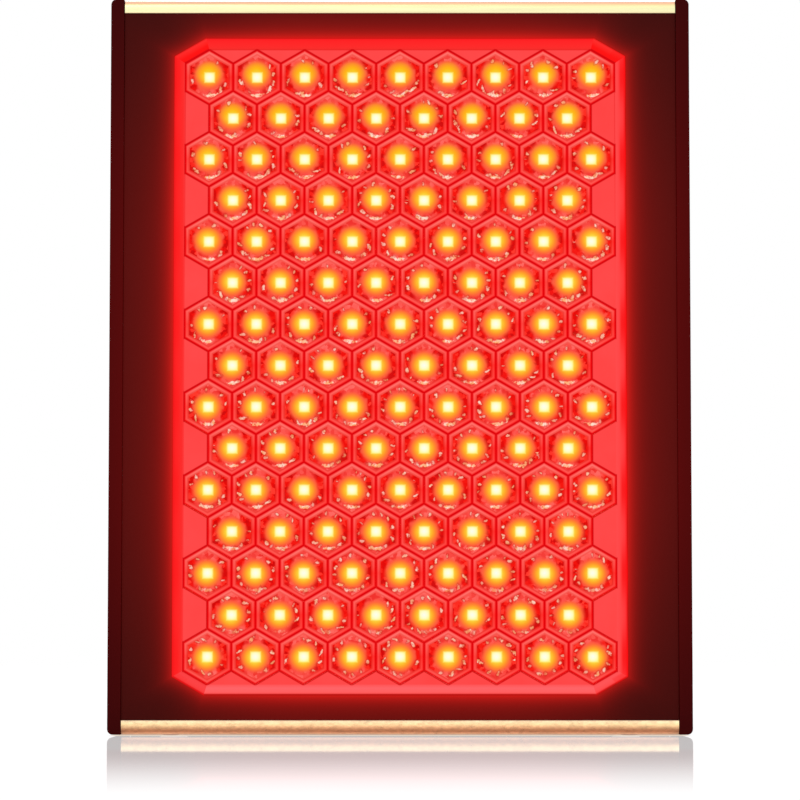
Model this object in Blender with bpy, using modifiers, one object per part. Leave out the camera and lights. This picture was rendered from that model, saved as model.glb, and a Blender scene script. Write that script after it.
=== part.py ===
"""A free-standing red light therapy panel, as the separate pieces it is put together from.

X runs to the right, Y to the back and Z up. The origin is on the ground, under the middle of the
panel's outer box. Lengths are in metres, and every depth is measured from the front of the rails.
"""

import math

import bmesh
import bpy
from mathutils import Matrix, Vector

MM = 0.001
SQUARE = math.radians(90)

# Clearances
FIT = 0.3 * MM
OVERRUN = 2 * MM
MERGE = 0.1 * MM
WELD = 0.01 * MM
SMOOTH_ANGLE = math.radians(35)
BEVEL_ANGLE = math.radians(40)

# Honeycomb lens field: rows of 9 and 8 six-sided cells, standing on their points
LENS_PITCH = 22 * MM
LENS_ROWS = 15
LONG_ROW = 9
ROWS_PER_BANK = 2
ROW_PITCH = LENS_PITCH * math.sqrt(3) / 2
CELL_RADIUS = LENS_PITCH / math.sqrt(3)
LENS_DEPTH = 5 * MM
GROOVE_WIDTH = 0.9 * MM
GROOVE_DEPTH = 0.7 * MM
MOAT_RADIUS = 9 * MM
MOAT_DEPTH = 1.3 * MM
DOME_RADIUS = 6.2 * MM
DOME_SINK = 0.15 * MM
LENS_SIDES = 12
CELL_CORNERS = 6

# Front plate, window bevel and lens tray
BEVEL = 4.65 * MM
SIDE_MARGIN = 22.75 * MM
END_MARGIN = 11 * MM
PLATE_RECESS = 0.8 * MM
PLATE_THICKNESS = 3 * MM
TRAY_FLANGE = 6 * MM
TRAY_FLANGE_THICKNESS = 2 * MM

# Rails and gold trim bars
RAIL_WIDTH = 6 * MM
RAIL_CORNER = 2.5 * MM
RAIL_EDGE = 0.5 * MM
TRIM_RADIUS = 6.4 * MM
TRIM_SETBACK = 0.3 * MM
ARC_STEPS = 6

# Feet and covers
FOOT_RADIUS = 7 * MM
FOOT_HEIGHT = 2.3 * MM
FOOT_EDGE = 0.5 * MM
FOOT_INSET = 28 * MM
FOOT_DEPTH_INSET = 16 * MM
RAIL_LIFT = 0.6 * MM
COVER_THICKNESS = 2.5 * MM
FLANGE_HEIGHT = 12 * MM
FLANGE_THICKNESS = 2 * MM
REAR_THICKNESS = 1.5 * MM
COVER_VENTS = 9
VENT_LENGTH = 16 * MM
VENT_WIDTH = 4 * MM
VENT_PITCH = 22 * MM

# LED packages, board and heat sink
LED_SIZE = 5 * MM
LED_HEIGHT = 1.2 * MM
TRACK_THICKNESS = 0.6 * MM
TRACK_MARGIN = 6 * MM
BOARD_THICKNESS = 1.6 * MM
BOARD_MARGIN = 6 * MM
SINK_MARGIN = 4 * MM
SINK_BASE = 2.5 * MM
FIN_HEIGHT = 8 * MM
FIN_THICKNESS = 1.5 * MM
FIN_COUNT = 22
AIR_GAP = 6 * MM

# Fans
FAN_SIZE = 80 * MM
FAN_DEPTH = 25 * MM
FAN_CORNER = 4 * MM
FAN_WALL = 2 * MM
FAN_SPACING = 120 * MM
FAN_RAISE = 46 * MM
HUB_RADIUS = 18 * MM
HUB_LENGTH = 19 * MM
MOTOR_PLATE = 3 * MM
STRUT_WIDTH = 5 * MM
STRUT_COUNT = 3
BLADE_COUNT = 7
BLADE_STATIONS = 3
BLADE_TIP_GAP = 1.5 * MM
BLADE_THICKNESS = 1.4 * MM
BLADE_ROOT_CHORD = 13 * MM
BLADE_TIP_CHORD = 21 * MM
BLADE_ROOT_PITCH = math.radians(52)
BLADE_TIP_PITCH = math.radians(32)
ROUND_STEPS = 32

# Finger guards
GUARD_WIRE = 1.8 * MM
GUARD_OVERLAP = 0.6 * MM
GUARD_RINGS = 4
GUARD_HUB = 9 * MM
GUARD_SPOKE = 2.4 * MM
GUARD_LUG = 3.6 * MM
GUARD_SCREW_EDGE = 4.25 * MM
GUARD_STEPS = 4

# Mains inlet
INLET_WIDTH = 27 * MM
INLET_HEIGHT = 20 * MM
INLET_FLANGE_WIDTH = 31 * MM
INLET_FLANGE_HEIGHT = 24 * MM
INLET_FLANGE_THICKNESS = 2 * MM
INLET_CORNER = 2 * MM
INLET_BODY = 22 * MM
INLET_RISE = 40 * MM
SOCKET_WIDTH = 23 * MM
SOCKET_HEIGHT = 16 * MM
SOCKET_CUT = 4 * MM
SOCKET_DEPTH = 17 * MM
PIN_WIDTH = 2 * MM
PIN_HEIGHT = 4 * MM
PIN_REACH = 12 * MM
PIN_TAIL = 4 * MM
PIN_EDGE = 0.4 * MM
PIN_SPREAD = 7 * MM
PIN_STAGGER = 2 * MM

# Rocker switches
SWITCH_WIDTH = 13 * MM
SWITCH_HEIGHT = 19 * MM
SWITCH_BEZEL = 1.6 * MM
SWITCH_FLANGE = 1.6 * MM
SWITCH_BODY = 14 * MM
SWITCH_WALL = 1.2 * MM
SWITCH_GAP = 14 * MM
SWITCH_SPACING = 32 * MM
ROCKER_RISE = 1.2 * MM
ROCKER_DEEP = 4.5 * MM
ROCKER_TILT = math.radians(10)

# Power boxes, control board and wires
DRIVER_WIDTH = 70 * MM
DRIVER_HEIGHT = 110 * MM
DRIVER_DEPTH = 26 * MM
DRIVER_GAP = 15 * MM
DRIVER_TAB = 6 * MM
DRIVER_TAB_THICKNESS = 1.5 * MM
CORE_GAP = 22 * MM
CONTROL_WIDTH = 110 * MM
CONTROL_HEIGHT = 42 * MM
CONTROL_THICKNESS = 1.6 * MM
CONTROL_GAP = 12 * MM
POST_RADIUS = 3 * MM
POST_HEIGHT = 8 * MM
POST_INSET = 6 * MM
RELAY_SIZE = 15 * MM
RELAY_HEIGHT = 10 * MM
WIRE_RADIUS = 1.5 * MM
WIRE_SAG = 5 * MM

# Folding stand and its brackets
ROD_RADIUS = 2.5 * MM
ROD_BEND = 6 * MM
ROD_STEPS = 4
STAND_WIDTH = 200 * MM
STAND_PIVOT_RISE = 139 * MM
STAND_FOOT_RISE = 12 * MM
EAR_GAP = 1 * MM
EAR_THICKNESS = 2 * MM
EAR_WALL = 2.5 * MM
BRACKET_BASE = 20 * MM
BRACKET_HEIGHT = 24 * MM
ROD_TAIL = 3 * MM

# Rear cover openings and screws
REAR_VENTS = 6
REAR_VENT_LENGTH = 44 * MM
REAR_VENT_PITCH = 9 * MM
REAR_VENT_RISE = 18 * MM
TOP_VENTS = 3
SCREW_RADIUS = 1.4 * MM
SCREW_LENGTH = 6 * MM
SCREW_HEAD_RADIUS = 3 * MM
SCREW_HEAD_HEIGHT = 1.7 * MM
SCREW_INSET = 8 * MM

# Places that follow from the sizes above
HALF_FIT = FIT / 2
FIELD_HALF_WIDTH = LENS_PITCH * LONG_ROW / 2
FIELD_HALF_HEIGHT = ROW_PITCH * (LENS_ROWS - 1) / 2 + CELL_RADIUS
PLATE_HALF_WIDTH = FIELD_HALF_WIDTH + BEVEL + FIT + SIDE_MARGIN
PLATE_HALF_HEIGHT = FIELD_HALF_HEIGHT + BEVEL + FIT + END_MARGIN
PANEL_HALF_WIDTH = PLATE_HALF_WIDTH + FIT + RAIL_WIDTH
BODY_HALF_HEIGHT = PLATE_HALF_HEIGHT + FIT + TRIM_RADIUS
CENTRE_Z = RAIL_LIFT + BODY_HALF_HEIGHT
BODY_TOP = CENTRE_Z + BODY_HALF_HEIGHT

FIELD_DEPTH = PLATE_RECESS + BEVEL
LENS_BACK = FIELD_DEPTH + LENS_DEPTH
LED_TOP = LENS_BACK + FIT
TRACK_BACK = LED_TOP + LED_HEIGHT + TRACK_THICKNESS
BOARD_FRONT = TRACK_BACK + FIT
SINK_FRONT = BOARD_FRONT + BOARD_THICKNESS + FIT
FIN_TOP = SINK_FRONT + SINK_BASE + FIN_HEIGHT
FAN_FRONT = FIN_TOP + AIR_GAP
FAN_BACK = FAN_FRONT + FAN_DEPTH
REAR_FRONT = FAN_BACK + FIT
HOUSING_DEPTH = REAR_FRONT + REAR_THICKNESS
ROD_DEPTH = HOUSING_DEPTH + FIT + EAR_THICKNESS + FIT + ROD_RADIUS
EAR_REACH = ROD_DEPTH + ROD_RADIUS + FIT + EAR_WALL
Y_FRONT = -EAR_REACH / 2

FAN_BORE = FAN_SIZE / 2 - FAN_WALL
GUARD_RADIUS = FAN_BORE + GUARD_OVERLAP
GUARD_PITCH = (GUARD_RADIUS - GUARD_HUB) / GUARD_RINGS
FAN_Z = CENTRE_Z + FAN_RAISE
PIVOT_Z = RAIL_LIFT + STAND_PIVOT_RISE
INLET_Z = RAIL_LIFT + INLET_RISE
SWITCH_Z = INLET_Z + INLET_FLANGE_HEIGHT / 2 + SWITCH_GAP + SWITCH_HEIGHT / 2
DRIVER_TOP = FAN_Z - FAN_SIZE / 2 - DRIVER_GAP
DRIVER_MID_Z = DRIVER_TOP - DRIVER_HEIGHT / 2
DRIVER_X = SWITCH_SPACING / 2 + SWITCH_WIDTH / 2 + CORE_GAP + DRIVER_WIDTH / 2
CONTROL_Z = FAN_Z + FAN_SIZE / 2 + CONTROL_GAP + CONTROL_HEIGHT / 2
SIDES = (("left", -1), ("right", 1))
SLOT_ROUND_SHARE = 0.3
SCREW_CROWN_SHARE = 0.7


def at_depth(depth):
    """Y of a depth measured from the front of the rails."""
    return Y_FRONT + depth


def clear_scene():
    for item in list(bpy.data.objects):
        bpy.data.objects.remove(item, do_unlink=True)


def new_collection(name):
    group = bpy.data.collections.new(name)
    bpy.context.scene.collection.children.link(group)
    return group


def new_material(name, colour, roughness, metallic=0.0):
    material = bpy.data.materials.new(name)
    material.use_nodes = True
    shader = material.node_tree.nodes["Principled BSDF"]
    shader.inputs["Base Color"].default_value = (*colour, 1.0)
    shader.inputs["Roughness"].default_value = roughness
    shader.inputs["Metallic"].default_value = metallic
    material.diffuse_color = (*colour, 1.0)
    return material


clear_scene()
PARTS = new_collection("light_therapy_panel")
CUTTERS = new_collection("cutters")
MAROON = ((0.12, 0.008, 0.007), 0.45, 0.3)
GOLD = ((0.95, 0.72, 0.36), 0.28, 1.0)
LENS_RED = ((1.0, 0.05, 0.05), 0.25, 0.0)
BLACK = ((0.02, 0.02, 0.022), 0.5, 0.0)
STEEL = ((0.55, 0.56, 0.58), 0.3, 1.0)
ALUMINIUM = ((0.78, 0.78, 0.8), 0.4, 1.0)
BRASS = ((0.8, 0.62, 0.3), 0.3, 1.0)
RUBBER = ((0.03, 0.03, 0.03), 0.85, 0.0)
BOARD_WHITE = ((0.85, 0.85, 0.82), 0.5, 0.0)
BOARD_GREEN = ((0.03, 0.2, 0.08), 0.4, 0.0)
LED_YELLOW = ((1.0, 0.95, 0.6), 0.4, 0.0)
COPPER_RED = ((0.5, 0.05, 0.04), 0.6, 0.0)


def finish(item, look):
    """Put an object in the panel's collection, in its own material."""
    if item.name not in PARTS.objects:
        PARTS.objects.link(item)
    item.data.materials.clear()
    item.data.materials.append(new_material(item.name, *look))
    return item


def as_cutter(item):
    CUTTERS.objects.link(item)
    item.hide_render = True
    item.display_type = 'WIRE'
    return item


def smooth(item):
    """Shade a round piece smooth, keeping its real edges."""
    item.data.shade_smooth()
    item.data.set_sharp_from_angle(angle=SMOOTH_ANGLE)
    return item


def mesh_object(name, shape, location=(0, 0, 0)):
    mesh = bpy.data.meshes.new(name)
    bmesh.ops.recalc_face_normals(shape, faces=shape.faces)
    shape.to_mesh(mesh)
    shape.free()
    item = bpy.data.objects.new(name, mesh)
    item.location = location
    return item


def add_box(shape, low, high):
    """Add a box between two opposite corners."""
    centre = [(a + b) / 2 for a, b in zip(low, high)]
    size = [b - a for a, b in zip(low, high)]
    matrix = Matrix.Translation(centre) @ Matrix.Diagonal((*size, 1))
    bmesh.ops.create_cube(shape, size=1, matrix=matrix)


def box_object(name, low, high):
    shape = bmesh.new()
    add_box(shape, low, high)
    return mesh_object(name, shape)


def add_cylinder(shape, centre, radius, length, axis, steps=ROUND_STEPS):
    """Add a capped cylinder along X, Y or Z."""
    turn = {
        'X': Matrix.Rotation(SQUARE, 4, 'Y'),
        'Y': Matrix.Rotation(SQUARE, 4, 'X'),
        'Z': Matrix.Identity(4),
    }[axis]
    bmesh.ops.create_cone(shape, cap_ends=True, segments=steps, radius1=radius, radius2=radius,
                          depth=length, matrix=Matrix.Translation(centre) @ turn)


def arc(centre, radius, start, end, steps=ARC_STEPS):
    """Points on a circle from one angle to another, both ends included."""
    points = []
    for step in range(steps + 1):
        angle = start + (end - start) * step / steps
        points.append((centre[0] + radius * math.cos(angle), centre[1] + radius * math.sin(angle)))
    return points


def circle(centre, radius, steps=ROUND_STEPS):
    """Points round a circle, none of them straight above or beside its centre."""
    start = math.pi / steps
    return arc(centre, radius, start, start + math.tau, steps)[:-1]


def rectangle(half_width, half_height, centre=(0, 0)):
    x, y = centre
    return [(x - half_width, y - half_height), (x + half_width, y - half_height),
            (x + half_width, y + half_height), (x - half_width, y + half_height)]


def round_rectangle(half_width, half_height, radius, centre=(0, 0), steps=ARC_STEPS):
    """A rectangle whose corners are quarter circles, counter-clockwise."""
    x, y = half_width - radius, half_height - radius
    points = []
    for quarter, (sign_x, sign_y) in enumerate(((1, 1), (-1, 1), (-1, -1), (1, -1))):
        middle = (centre[0] + sign_x * x, centre[1] + sign_y * y)
        points += arc(middle, radius, quarter * SQUARE, (quarter + 1) * SQUARE, steps)
    return points


def slot(centre, length, width):
    """A slot with blunt round ends, lying along the outline's first axis."""
    return round_rectangle(length / 2, width / 2, width * SLOT_ROUND_SHARE, centre, 1)


def offset_outline(points, distance):
    """Move every side of a counter-clockwise outline outwards by the same distance."""
    normals = []
    for here, there in zip(points, points[1:] + points[:1]):
        side = Vector((there[0] - here[0], there[1] - here[1])).normalized()
        normals.append(Vector((side.y, -side.x)))
    moved = []
    for point, before, after in zip(points, normals[-1:] + normals[:-1], normals):
        shift = (before + after) * distance / (1 + before.dot(after))
        moved.append((point[0] + shift.x, point[1] + shift.y))
    return moved


TURNS = {'X': (SQUARE, 0, SQUARE), 'Y': (SQUARE, 0, 0), 'Z': (0, 0, 0)}


def extruded(name, outlines, thickness, axis, middle):
    """A flat outline with its holes, given thickness along one axis about the place `middle`.

    Along Y the outline lies in X and Z, along X it lies in Y and Z, and along Z in X and Y.
    """
    curve = bpy.data.curves.new(name, 'CURVE')
    curve.dimensions = '2D'
    curve.fill_mode = 'BOTH'
    curve.extrude = thickness / 2
    for outline in outlines:
        spline = curve.splines.new('POLY')
        spline.points.add(len(outline) - 1)
        for point, (x, y) in zip(spline.points, outline):
            point.co = (x, y, 0, 1)
        spline.use_cyclic_u = True
    item = bpy.data.objects.new(name, curve)
    item.rotation_euler = TURNS[axis]
    item.location = {'X': (middle, 0, 0), 'Y': (0, middle, 0), 'Z': (0, 0, middle)}[axis]
    return item


def plate(name, outlines, front, thickness):
    """A sheet that faces the front, from one depth to another."""
    return extruded(name, outlines, thickness, 'Y', at_depth(front + thickness / 2))


def tube(name, points, radius, location=(0, 0, 0)):
    """A round wire through the points, with closed ends."""
    curve = bpy.data.curves.new(name, 'CURVE')
    curve.dimensions = '3D'
    curve.bevel_depth = radius
    curve.bevel_resolution = 2
    curve.use_fill_caps = True
    spline = curve.splines.new('POLY')
    spline.points.add(len(points) - 1)
    for point, place in zip(spline.points, points):
        point.co = (*place, 1)
    item = bpy.data.objects.new(name, curve)
    item.location = location
    return item


def turned(name, profile, location, steps=ROUND_STEPS):
    """A profile of radius and height pairs, top to bottom, turned about Z."""
    mesh = bpy.data.meshes.new(name)
    points = [(radius, 0, height) for radius, height in profile]
    mesh.from_pydata(points, [(i, i + 1) for i in range(len(points) - 1)], [])
    item = bpy.data.objects.new(name, mesh)
    item.location = location
    screw = item.modifiers.new("turn", 'SCREW')
    screw.steps = steps
    screw.render_steps = steps
    screw.use_merge_vertices = True
    screw.merge_threshold = MERGE
    return item


def as_mesh(item):
    """Turn a curve object into a mesh object with welded caps, in world space."""
    if not item.users_collection:
        CUTTERS.objects.link(item)
    bpy.context.view_layer.update()
    evaluated = item.evaluated_get(bpy.context.evaluated_depsgraph_get())
    mesh = bpy.data.meshes.new_from_object(evaluated)
    mesh.transform(item.matrix_world)
    shape = bmesh.new()
    shape.from_mesh(mesh)
    bmesh.ops.remove_doubles(shape, verts=shape.verts, dist=WELD)
    bmesh.ops.recalc_face_normals(shape, faces=shape.faces)
    shape.to_mesh(mesh)
    shape.free()
    name = item.name
    bpy.data.objects.remove(item, do_unlink=True)
    solid = bpy.data.objects.new(name, mesh)
    solid.name = name
    return solid


def combine(item, cutter, operation='DIFFERENCE'):
    """Cut a cutter out of an object, or join it on."""
    modifier = item.modifiers.new(cutter.name, 'BOOLEAN')
    modifier.operation = operation
    modifier.solver = 'EXACT'
    modifier.object = cutter
    if not cutter.users_collection:
        as_cutter(cutter)
    return item


def soften(item, width, segments=2):
    """Round the edges of an object."""
    bevel = item.modifiers.new("edges", 'BEVEL')
    bevel.width = width
    bevel.segments = segments
    bevel.limit_method = 'ANGLE'
    bevel.angle_limit = BEVEL_ANGLE
    return item


def row_cells(row):
    """Centres of the lenses of one row, in X and Z, left to right. Row 0 is the top one."""
    count = LONG_ROW - row % 2
    height = CENTRE_Z + ROW_PITCH * ((LENS_ROWS - 1) / 2 - row)
    return [((place - (count - 1) / 2) * LENS_PITCH, height) for place in range(count)]


def field_outline(first, last):
    """Zigzag outline of the honeycomb from one row to another, counter-clockwise."""
    left, right = [], []
    for row in range(first, last + 1):
        cells = row_cells(row)
        for side, cell, sign in ((left, cells[0], -1), (right, cells[-1], 1)):
            x = cell[0] + sign * LENS_PITCH / 2
            side += [(x, cell[1] + CELL_RADIUS / 2), (x, cell[1] - CELL_RADIUS / 2)]
    top = []
    for x, z in row_cells(first):
        top += [(x, z + CELL_RADIUS), (x + LENS_PITCH / 2, z + CELL_RADIUS / 2)]
    bottom = []
    for x, z in row_cells(last):
        bottom += [(x, z - CELL_RADIUS), (x + LENS_PITCH / 2, z - CELL_RADIUS / 2)]
    return left + bottom[:-1] + right[::-1] + top[:-1][::-1]


def window_outline(distance):
    """The eight-sided outline that just holds the honeycomb, moved outwards by a distance."""
    low, high = CENTRE_Z - FIELD_HALF_HEIGHT, CENTRE_Z + FIELD_HALF_HEIGHT
    side, inner = FIELD_HALF_WIDTH, FIELD_HALF_WIDTH - LENS_PITCH / 2
    step = CELL_RADIUS / 2
    hull = [(-inner, low), (inner, low), (side, low + step), (side, high - step),
            (inner, high), (-inner, high), (-side, high - step), (-side, low + step)]
    return offset_outline(hull, distance)


def make_rails():
    for name, sign in SIDES:
        x_in, x_out = sign * (PLATE_HALF_WIDTH + FIT), sign * PANEL_HALF_WIDTH
        low, high = RAIL_LIFT, BODY_TOP
        bend = x_out - sign * RAIL_CORNER
        top = arc((bend, high - RAIL_CORNER), RAIL_CORNER, 0, SQUARE)
        foot = arc((bend, low + RAIL_CORNER), RAIL_CORNER, -SQUARE, 0)
        if sign < 0:
            top = [(2 * bend - x, z) for x, z in top][::-1]
            foot = [(2 * bend - x, z) for x, z in foot][::-1]
            outline = top + foot + [(x_in, low), (x_in, high)]
        else:
            outline = [(x_in, low)] + foot + top + [(x_in, high)]
        rail = as_mesh(plate(f"rail_{name}", [outline], 0, HOUSING_DEPTH))
        finish(soften(rail, RAIL_EDGE), MAROON)


def make_trims():
    """Quarter-round bars: the round side faces the front and the outside."""
    back = at_depth(TRIM_SETBACK + TRIM_RADIUS)
    ends = {
        'trim_top': (BODY_TOP - TRIM_RADIUS, SQUARE, 2 * SQUARE),
        'trim_bottom': (RAIL_LIFT + TRIM_RADIUS, 2 * SQUARE, 3 * SQUARE),
    }
    for name, (z, start, end) in ends.items():
        outline = arc((back, z), TRIM_RADIUS, start, end) + [(back, z)]
        bar = extruded(name, [outline], 2 * PLATE_HALF_WIDTH, 'X', 0)
        finish(bar, GOLD)


def make_covers():
    """Top and bottom covers: a vented plate with a flange behind, bent towards the middle."""
    front = at_depth(TRIM_SETBACK + TRIM_RADIUS + FIT)
    back = at_depth(REAR_FRONT - FIT)
    feet_gap = FOOT_HEIGHT + FIT
    places = {
        'top_cover': (BODY_TOP, BODY_TOP - COVER_THICKNESS, -1),
        'bottom_cover': (feet_gap, feet_gap + COVER_THICKNESS, 1),
    }
    for name, (outer, inner, inward) in places.items():
        flange = inner + inward * FLANGE_HEIGHT
        bend = back - FLANGE_THICKNESS
        outline = [(front, outer), (back, outer), (back, flange), (bend, flange),
                   (bend, inner), (front, inner)]
        if inward < 0:
            outline.reverse()
        cover = as_mesh(extruded(name, [outline], 2 * PLATE_HALF_WIDTH, 'X', 0))
        vents = bmesh.new()
        middle = (front + bend) / 2
        for place in range(COVER_VENTS):
            x = (place - (COVER_VENTS - 1) / 2) * VENT_PITCH
            low = (x - VENT_WIDTH / 2, middle - VENT_LENGTH / 2, min(outer, inner) - OVERRUN)
            high = (x + VENT_WIDTH / 2, middle + VENT_LENGTH / 2, max(outer, inner) + OVERRUN)
            add_box(vents, low, high)
        for x, z in screw_places():
            if abs(z - (inner + flange) / 2) < FLANGE_HEIGHT / 2:
                add_cylinder(vents, (x, back - FLANGE_THICKNESS / 2, z), SCREW_RADIUS + FIT,
                             FLANGE_THICKNESS + OVERRUN, 'Y', LENS_SIDES)
        combine(cover, mesh_object(f"{name}_holes", vents))
        finish(cover, MAROON)


def screw_places():
    """Centres of the rear screws in X and Z: three into each cover's flange."""
    side = PLATE_HALF_WIDTH - SCREW_INSET
    top = BODY_TOP - COVER_THICKNESS - FLANGE_HEIGHT / 2
    bottom = FOOT_HEIGHT + FIT + COVER_THICKNESS + FLANGE_HEIGHT / 2
    return [(x, z) for z in (bottom, top) for x in (-side, 0, side)]


def make_front_plate():
    sheet = rectangle(PLATE_HALF_WIDTH, PLATE_HALF_HEIGHT, (0, CENTRE_Z))
    window = window_outline(BEVEL + FIT)
    finish(plate("front_plate", [sheet, window], PLATE_RECESS, PLATE_THICKNESS), MAROON)


def add_rings(shape, rings):
    """Join outlines of equal length, each at its own depth, into one closed solid."""
    loops = []
    for outline, depth in rings:
        loops.append([shape.verts.new((x, at_depth(depth), z)) for x, z in outline])
    for here, there in zip(loops, loops[1:]):
        for index in range(len(here)):
            after = (index + 1) % len(here)
            shape.faces.new((here[index], here[after], there[after], there[index]))
    shape.faces.new(loops[0])
    shape.faces.new(loops[-1])


def make_lens_tray():
    """Bevelled frame with a flange behind the plate, and a hole along the honeycomb's edge."""
    flange_front = PLATE_RECESS + PLATE_THICKNESS + FIT
    flange_back = flange_front + TRAY_FLANGE_THICKNESS
    rings = [
        (window_outline(0), FIELD_DEPTH),
        (window_outline(BEVEL), PLATE_RECESS),
        (window_outline(BEVEL), flange_front),
        (window_outline(BEVEL + TRAY_FLANGE), flange_front),
        (window_outline(BEVEL + TRAY_FLANGE), flange_back),
        (window_outline(BEVEL), flange_back),
        (window_outline(BEVEL), LENS_BACK),
    ]
    shape = bmesh.new()
    add_rings(shape, rings)
    tray = mesh_object("lens_tray", shape)
    hole = offset_outline(field_outline(0, LENS_ROWS - 1), HALF_FIT)
    cutter = plate("honeycomb_hole", [hole], PLATE_RECESS, LENS_BACK + OVERRUN)
    combine(tray, as_mesh(cutter))
    finish(tray, LENS_RED)


def circle_from(centre, radius, start, steps):
    return arc(centre, radius, start, start + math.tau, steps)[:-1]


def cell_corners(cell, radius):
    """Corners of a hexagon that stands on its point."""
    return circle_from(cell, radius, SQUARE / 3, CELL_CORNERS)


def make_lens_bank(number, first, last):
    """Two rows of lens tiles as one solid.

    Neighbouring tiles share the corners at the foot of the groove between them. From the tile's edge
    the face falls into a round moat and rises again to the lens.
    """
    shape = bmesh.new()
    cells = [cell for row in range(first, last + 1) for cell in row_cells(row)]
    owners = {}
    for cell in cells:
        for corner in cell_corners(cell, CELL_RADIUS):
            owners.setdefault(corner_key(corner), []).append((cell, corner))
    groove, back = {}, {}
    for key, shared in owners.items():
        corner = Vector(shared[0][1])
        if len(shared) < 3:
            inward = sum((Vector(cell) - corner for cell, _ in shared), Vector((0, 0)))
            corner = corner + inward.normalized() * HALF_FIT / math.cos(SQUARE / 3)
        groove[key] = shape.verts.new((corner.x, at_depth(FIELD_DEPTH + GROOVE_DEPTH), corner.y))
        back[key] = shape.verts.new((corner.x, at_depth(LENS_BACK), corner.y))
    edge_uses = {}
    for cell in cells:
        keys = [corner_key(corner) for corner in cell_corners(cell, CELL_RADIUS)]
        for here, there in zip(keys, keys[1:] + keys[:1]):
            pair = tuple(sorted((here, there)))
            edge_uses[pair] = edge_uses.get(pair, 0) + 1
        add_tile(shape, cell, [groove[key] for key in keys])
        shape.faces.new([back[key] for key in keys])
    for (here, there), uses in edge_uses.items():
        if uses == 1:
            shape.faces.new((groove[here], groove[there], back[there], back[here]))
    bank = mesh_object(f"lens_bank_{number}", shape)
    finish(bank, LENS_RED)


def corner_key(corner):
    """The same whole numbers for a corner that neighbouring tiles reach by different sums."""
    return tuple(round(value / MERGE) for value in corner)


def add_tile(shape, cell, foot):
    """Front of one lens tile, above the six corners at the foot of its groove."""
    inset = GROOVE_WIDTH / 2 / math.cos(SQUARE / 3)
    edge = [shape.verts.new((x, at_depth(FIELD_DEPTH), z))
            for x, z in cell_corners(cell, CELL_RADIUS - inset)]
    start = SQUARE / 3
    moat = [shape.verts.new((x, at_depth(FIELD_DEPTH + MOAT_DEPTH), z))
            for x, z in circle_from(cell, MOAT_RADIUS, start, LENS_SIDES)]
    dome = [shape.verts.new((x, at_depth(FIELD_DEPTH + DOME_SINK), z))
            for x, z in circle_from(cell, DOME_RADIUS, start, LENS_SIDES)]
    for index in range(CELL_CORNERS):
        after = (index + 1) % CELL_CORNERS
        shape.faces.new((foot[index], foot[after], edge[after], edge[index]))
        near, mid, far = 2 * index, 2 * index + 1, (2 * index + 2) % LENS_SIDES
        shape.faces.new((edge[index], moat[mid], moat[near]))
        shape.faces.new((edge[index], edge[after], moat[mid]))
        shape.faces.new((edge[after], moat[far], moat[mid]))
    for index in range(LENS_SIDES):
        after = (index + 1) % LENS_SIDES
        shape.faces.new((moat[index], moat[after], dome[after], dome[index]))
    shape.faces.new(dome)


def make_led_string(number, first, last):
    """A thin track that carries one LED package under each lens of its rows."""
    cells = [cell for row in range(first, last + 1) for cell in row_cells(row)]
    half = LED_SIZE / 2
    high = max(z for _, z in cells) + TRACK_MARGIN
    low = min(z for _, z in cells) - TRACK_MARGIN
    side = FIELD_HALF_WIDTH - HALF_FIT
    track_front = LED_TOP + LED_HEIGHT
    track = box_object(f"led_string_{number}", (-side, at_depth(track_front), low),
                       (side, at_depth(TRACK_BACK), high))
    packages = bmesh.new()
    for x, z in cells:
        add_box(packages, (x - half, at_depth(LED_TOP), z - half),
                (x + half, at_depth(track_front + TRACK_THICKNESS / 2), z + half))
    combine(track, mesh_object(f"led_packages_{number}", packages), 'UNION')
    finish(track, LED_YELLOW)


def make_lens_field():
    for number, first in enumerate(range(0, LENS_ROWS, ROWS_PER_BANK), start=1):
        last = min(first + ROWS_PER_BANK, LENS_ROWS) - 1
        make_lens_bank(number, first, last)
        make_led_string(number, first, last)


def make_led_board():
    width, height = FIELD_HALF_WIDTH + BOARD_MARGIN, FIELD_HALF_HEIGHT + BOARD_MARGIN
    outline = round_rectangle(width, height, BOARD_MARGIN, (0, CENTRE_Z))
    finish(plate("led_board", [outline], BOARD_FRONT, BOARD_THICKNESS), BOARD_WHITE)


def make_heat_sink():
    """A comb outline in X and Y, drawn out along Z."""
    front, root = at_depth(SINK_FRONT), at_depth(SINK_FRONT + SINK_BASE)
    tip = at_depth(FIN_TOP)
    half = PLATE_HALF_WIDTH
    pitch = (2 * half - FIN_THICKNESS) / (FIN_COUNT - 1)
    outline = [(-half, front), (half, front)]
    for fin in range(FIN_COUNT):
        right = half - fin * pitch
        left = right - FIN_THICKNESS
        outline += [(right, tip), (left, tip)]
        if fin < FIN_COUNT - 1:
            outline += [(left, root), (right - pitch, root)]
    height = 2 * (PLATE_HALF_HEIGHT - SINK_MARGIN)
    finish(extruded("heat_sink", [outline], height, 'Z', CENTRE_Z), ALUMINIUM)


def fan_place(sign):
    return sign * FAN_SPACING / 2, FAN_Z


def spider_outline(centre):
    """Motor plate with its struts: a disc whose arms reach halfway into the frame's wall."""
    reach = (FAN_BORE + FAN_SIZE / 2) / 2
    half = STRUT_WIDTH / 2
    opening = math.asin(half / HUB_RADIUS)
    step = math.tau / STRUT_COUNT
    points = []
    for strut in range(STRUT_COUNT):
        angle = strut * step
        along = Vector((math.cos(angle), math.sin(angle)))
        across = Vector((-along.y, along.x))
        for corner in (along * reach - across * half, along * reach + across * half):
            points.append((centre[0] + corner.x, centre[1] + corner.y))
        points += arc(centre, HUB_RADIUS, angle + opening, angle + step - opening)
    return points


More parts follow.
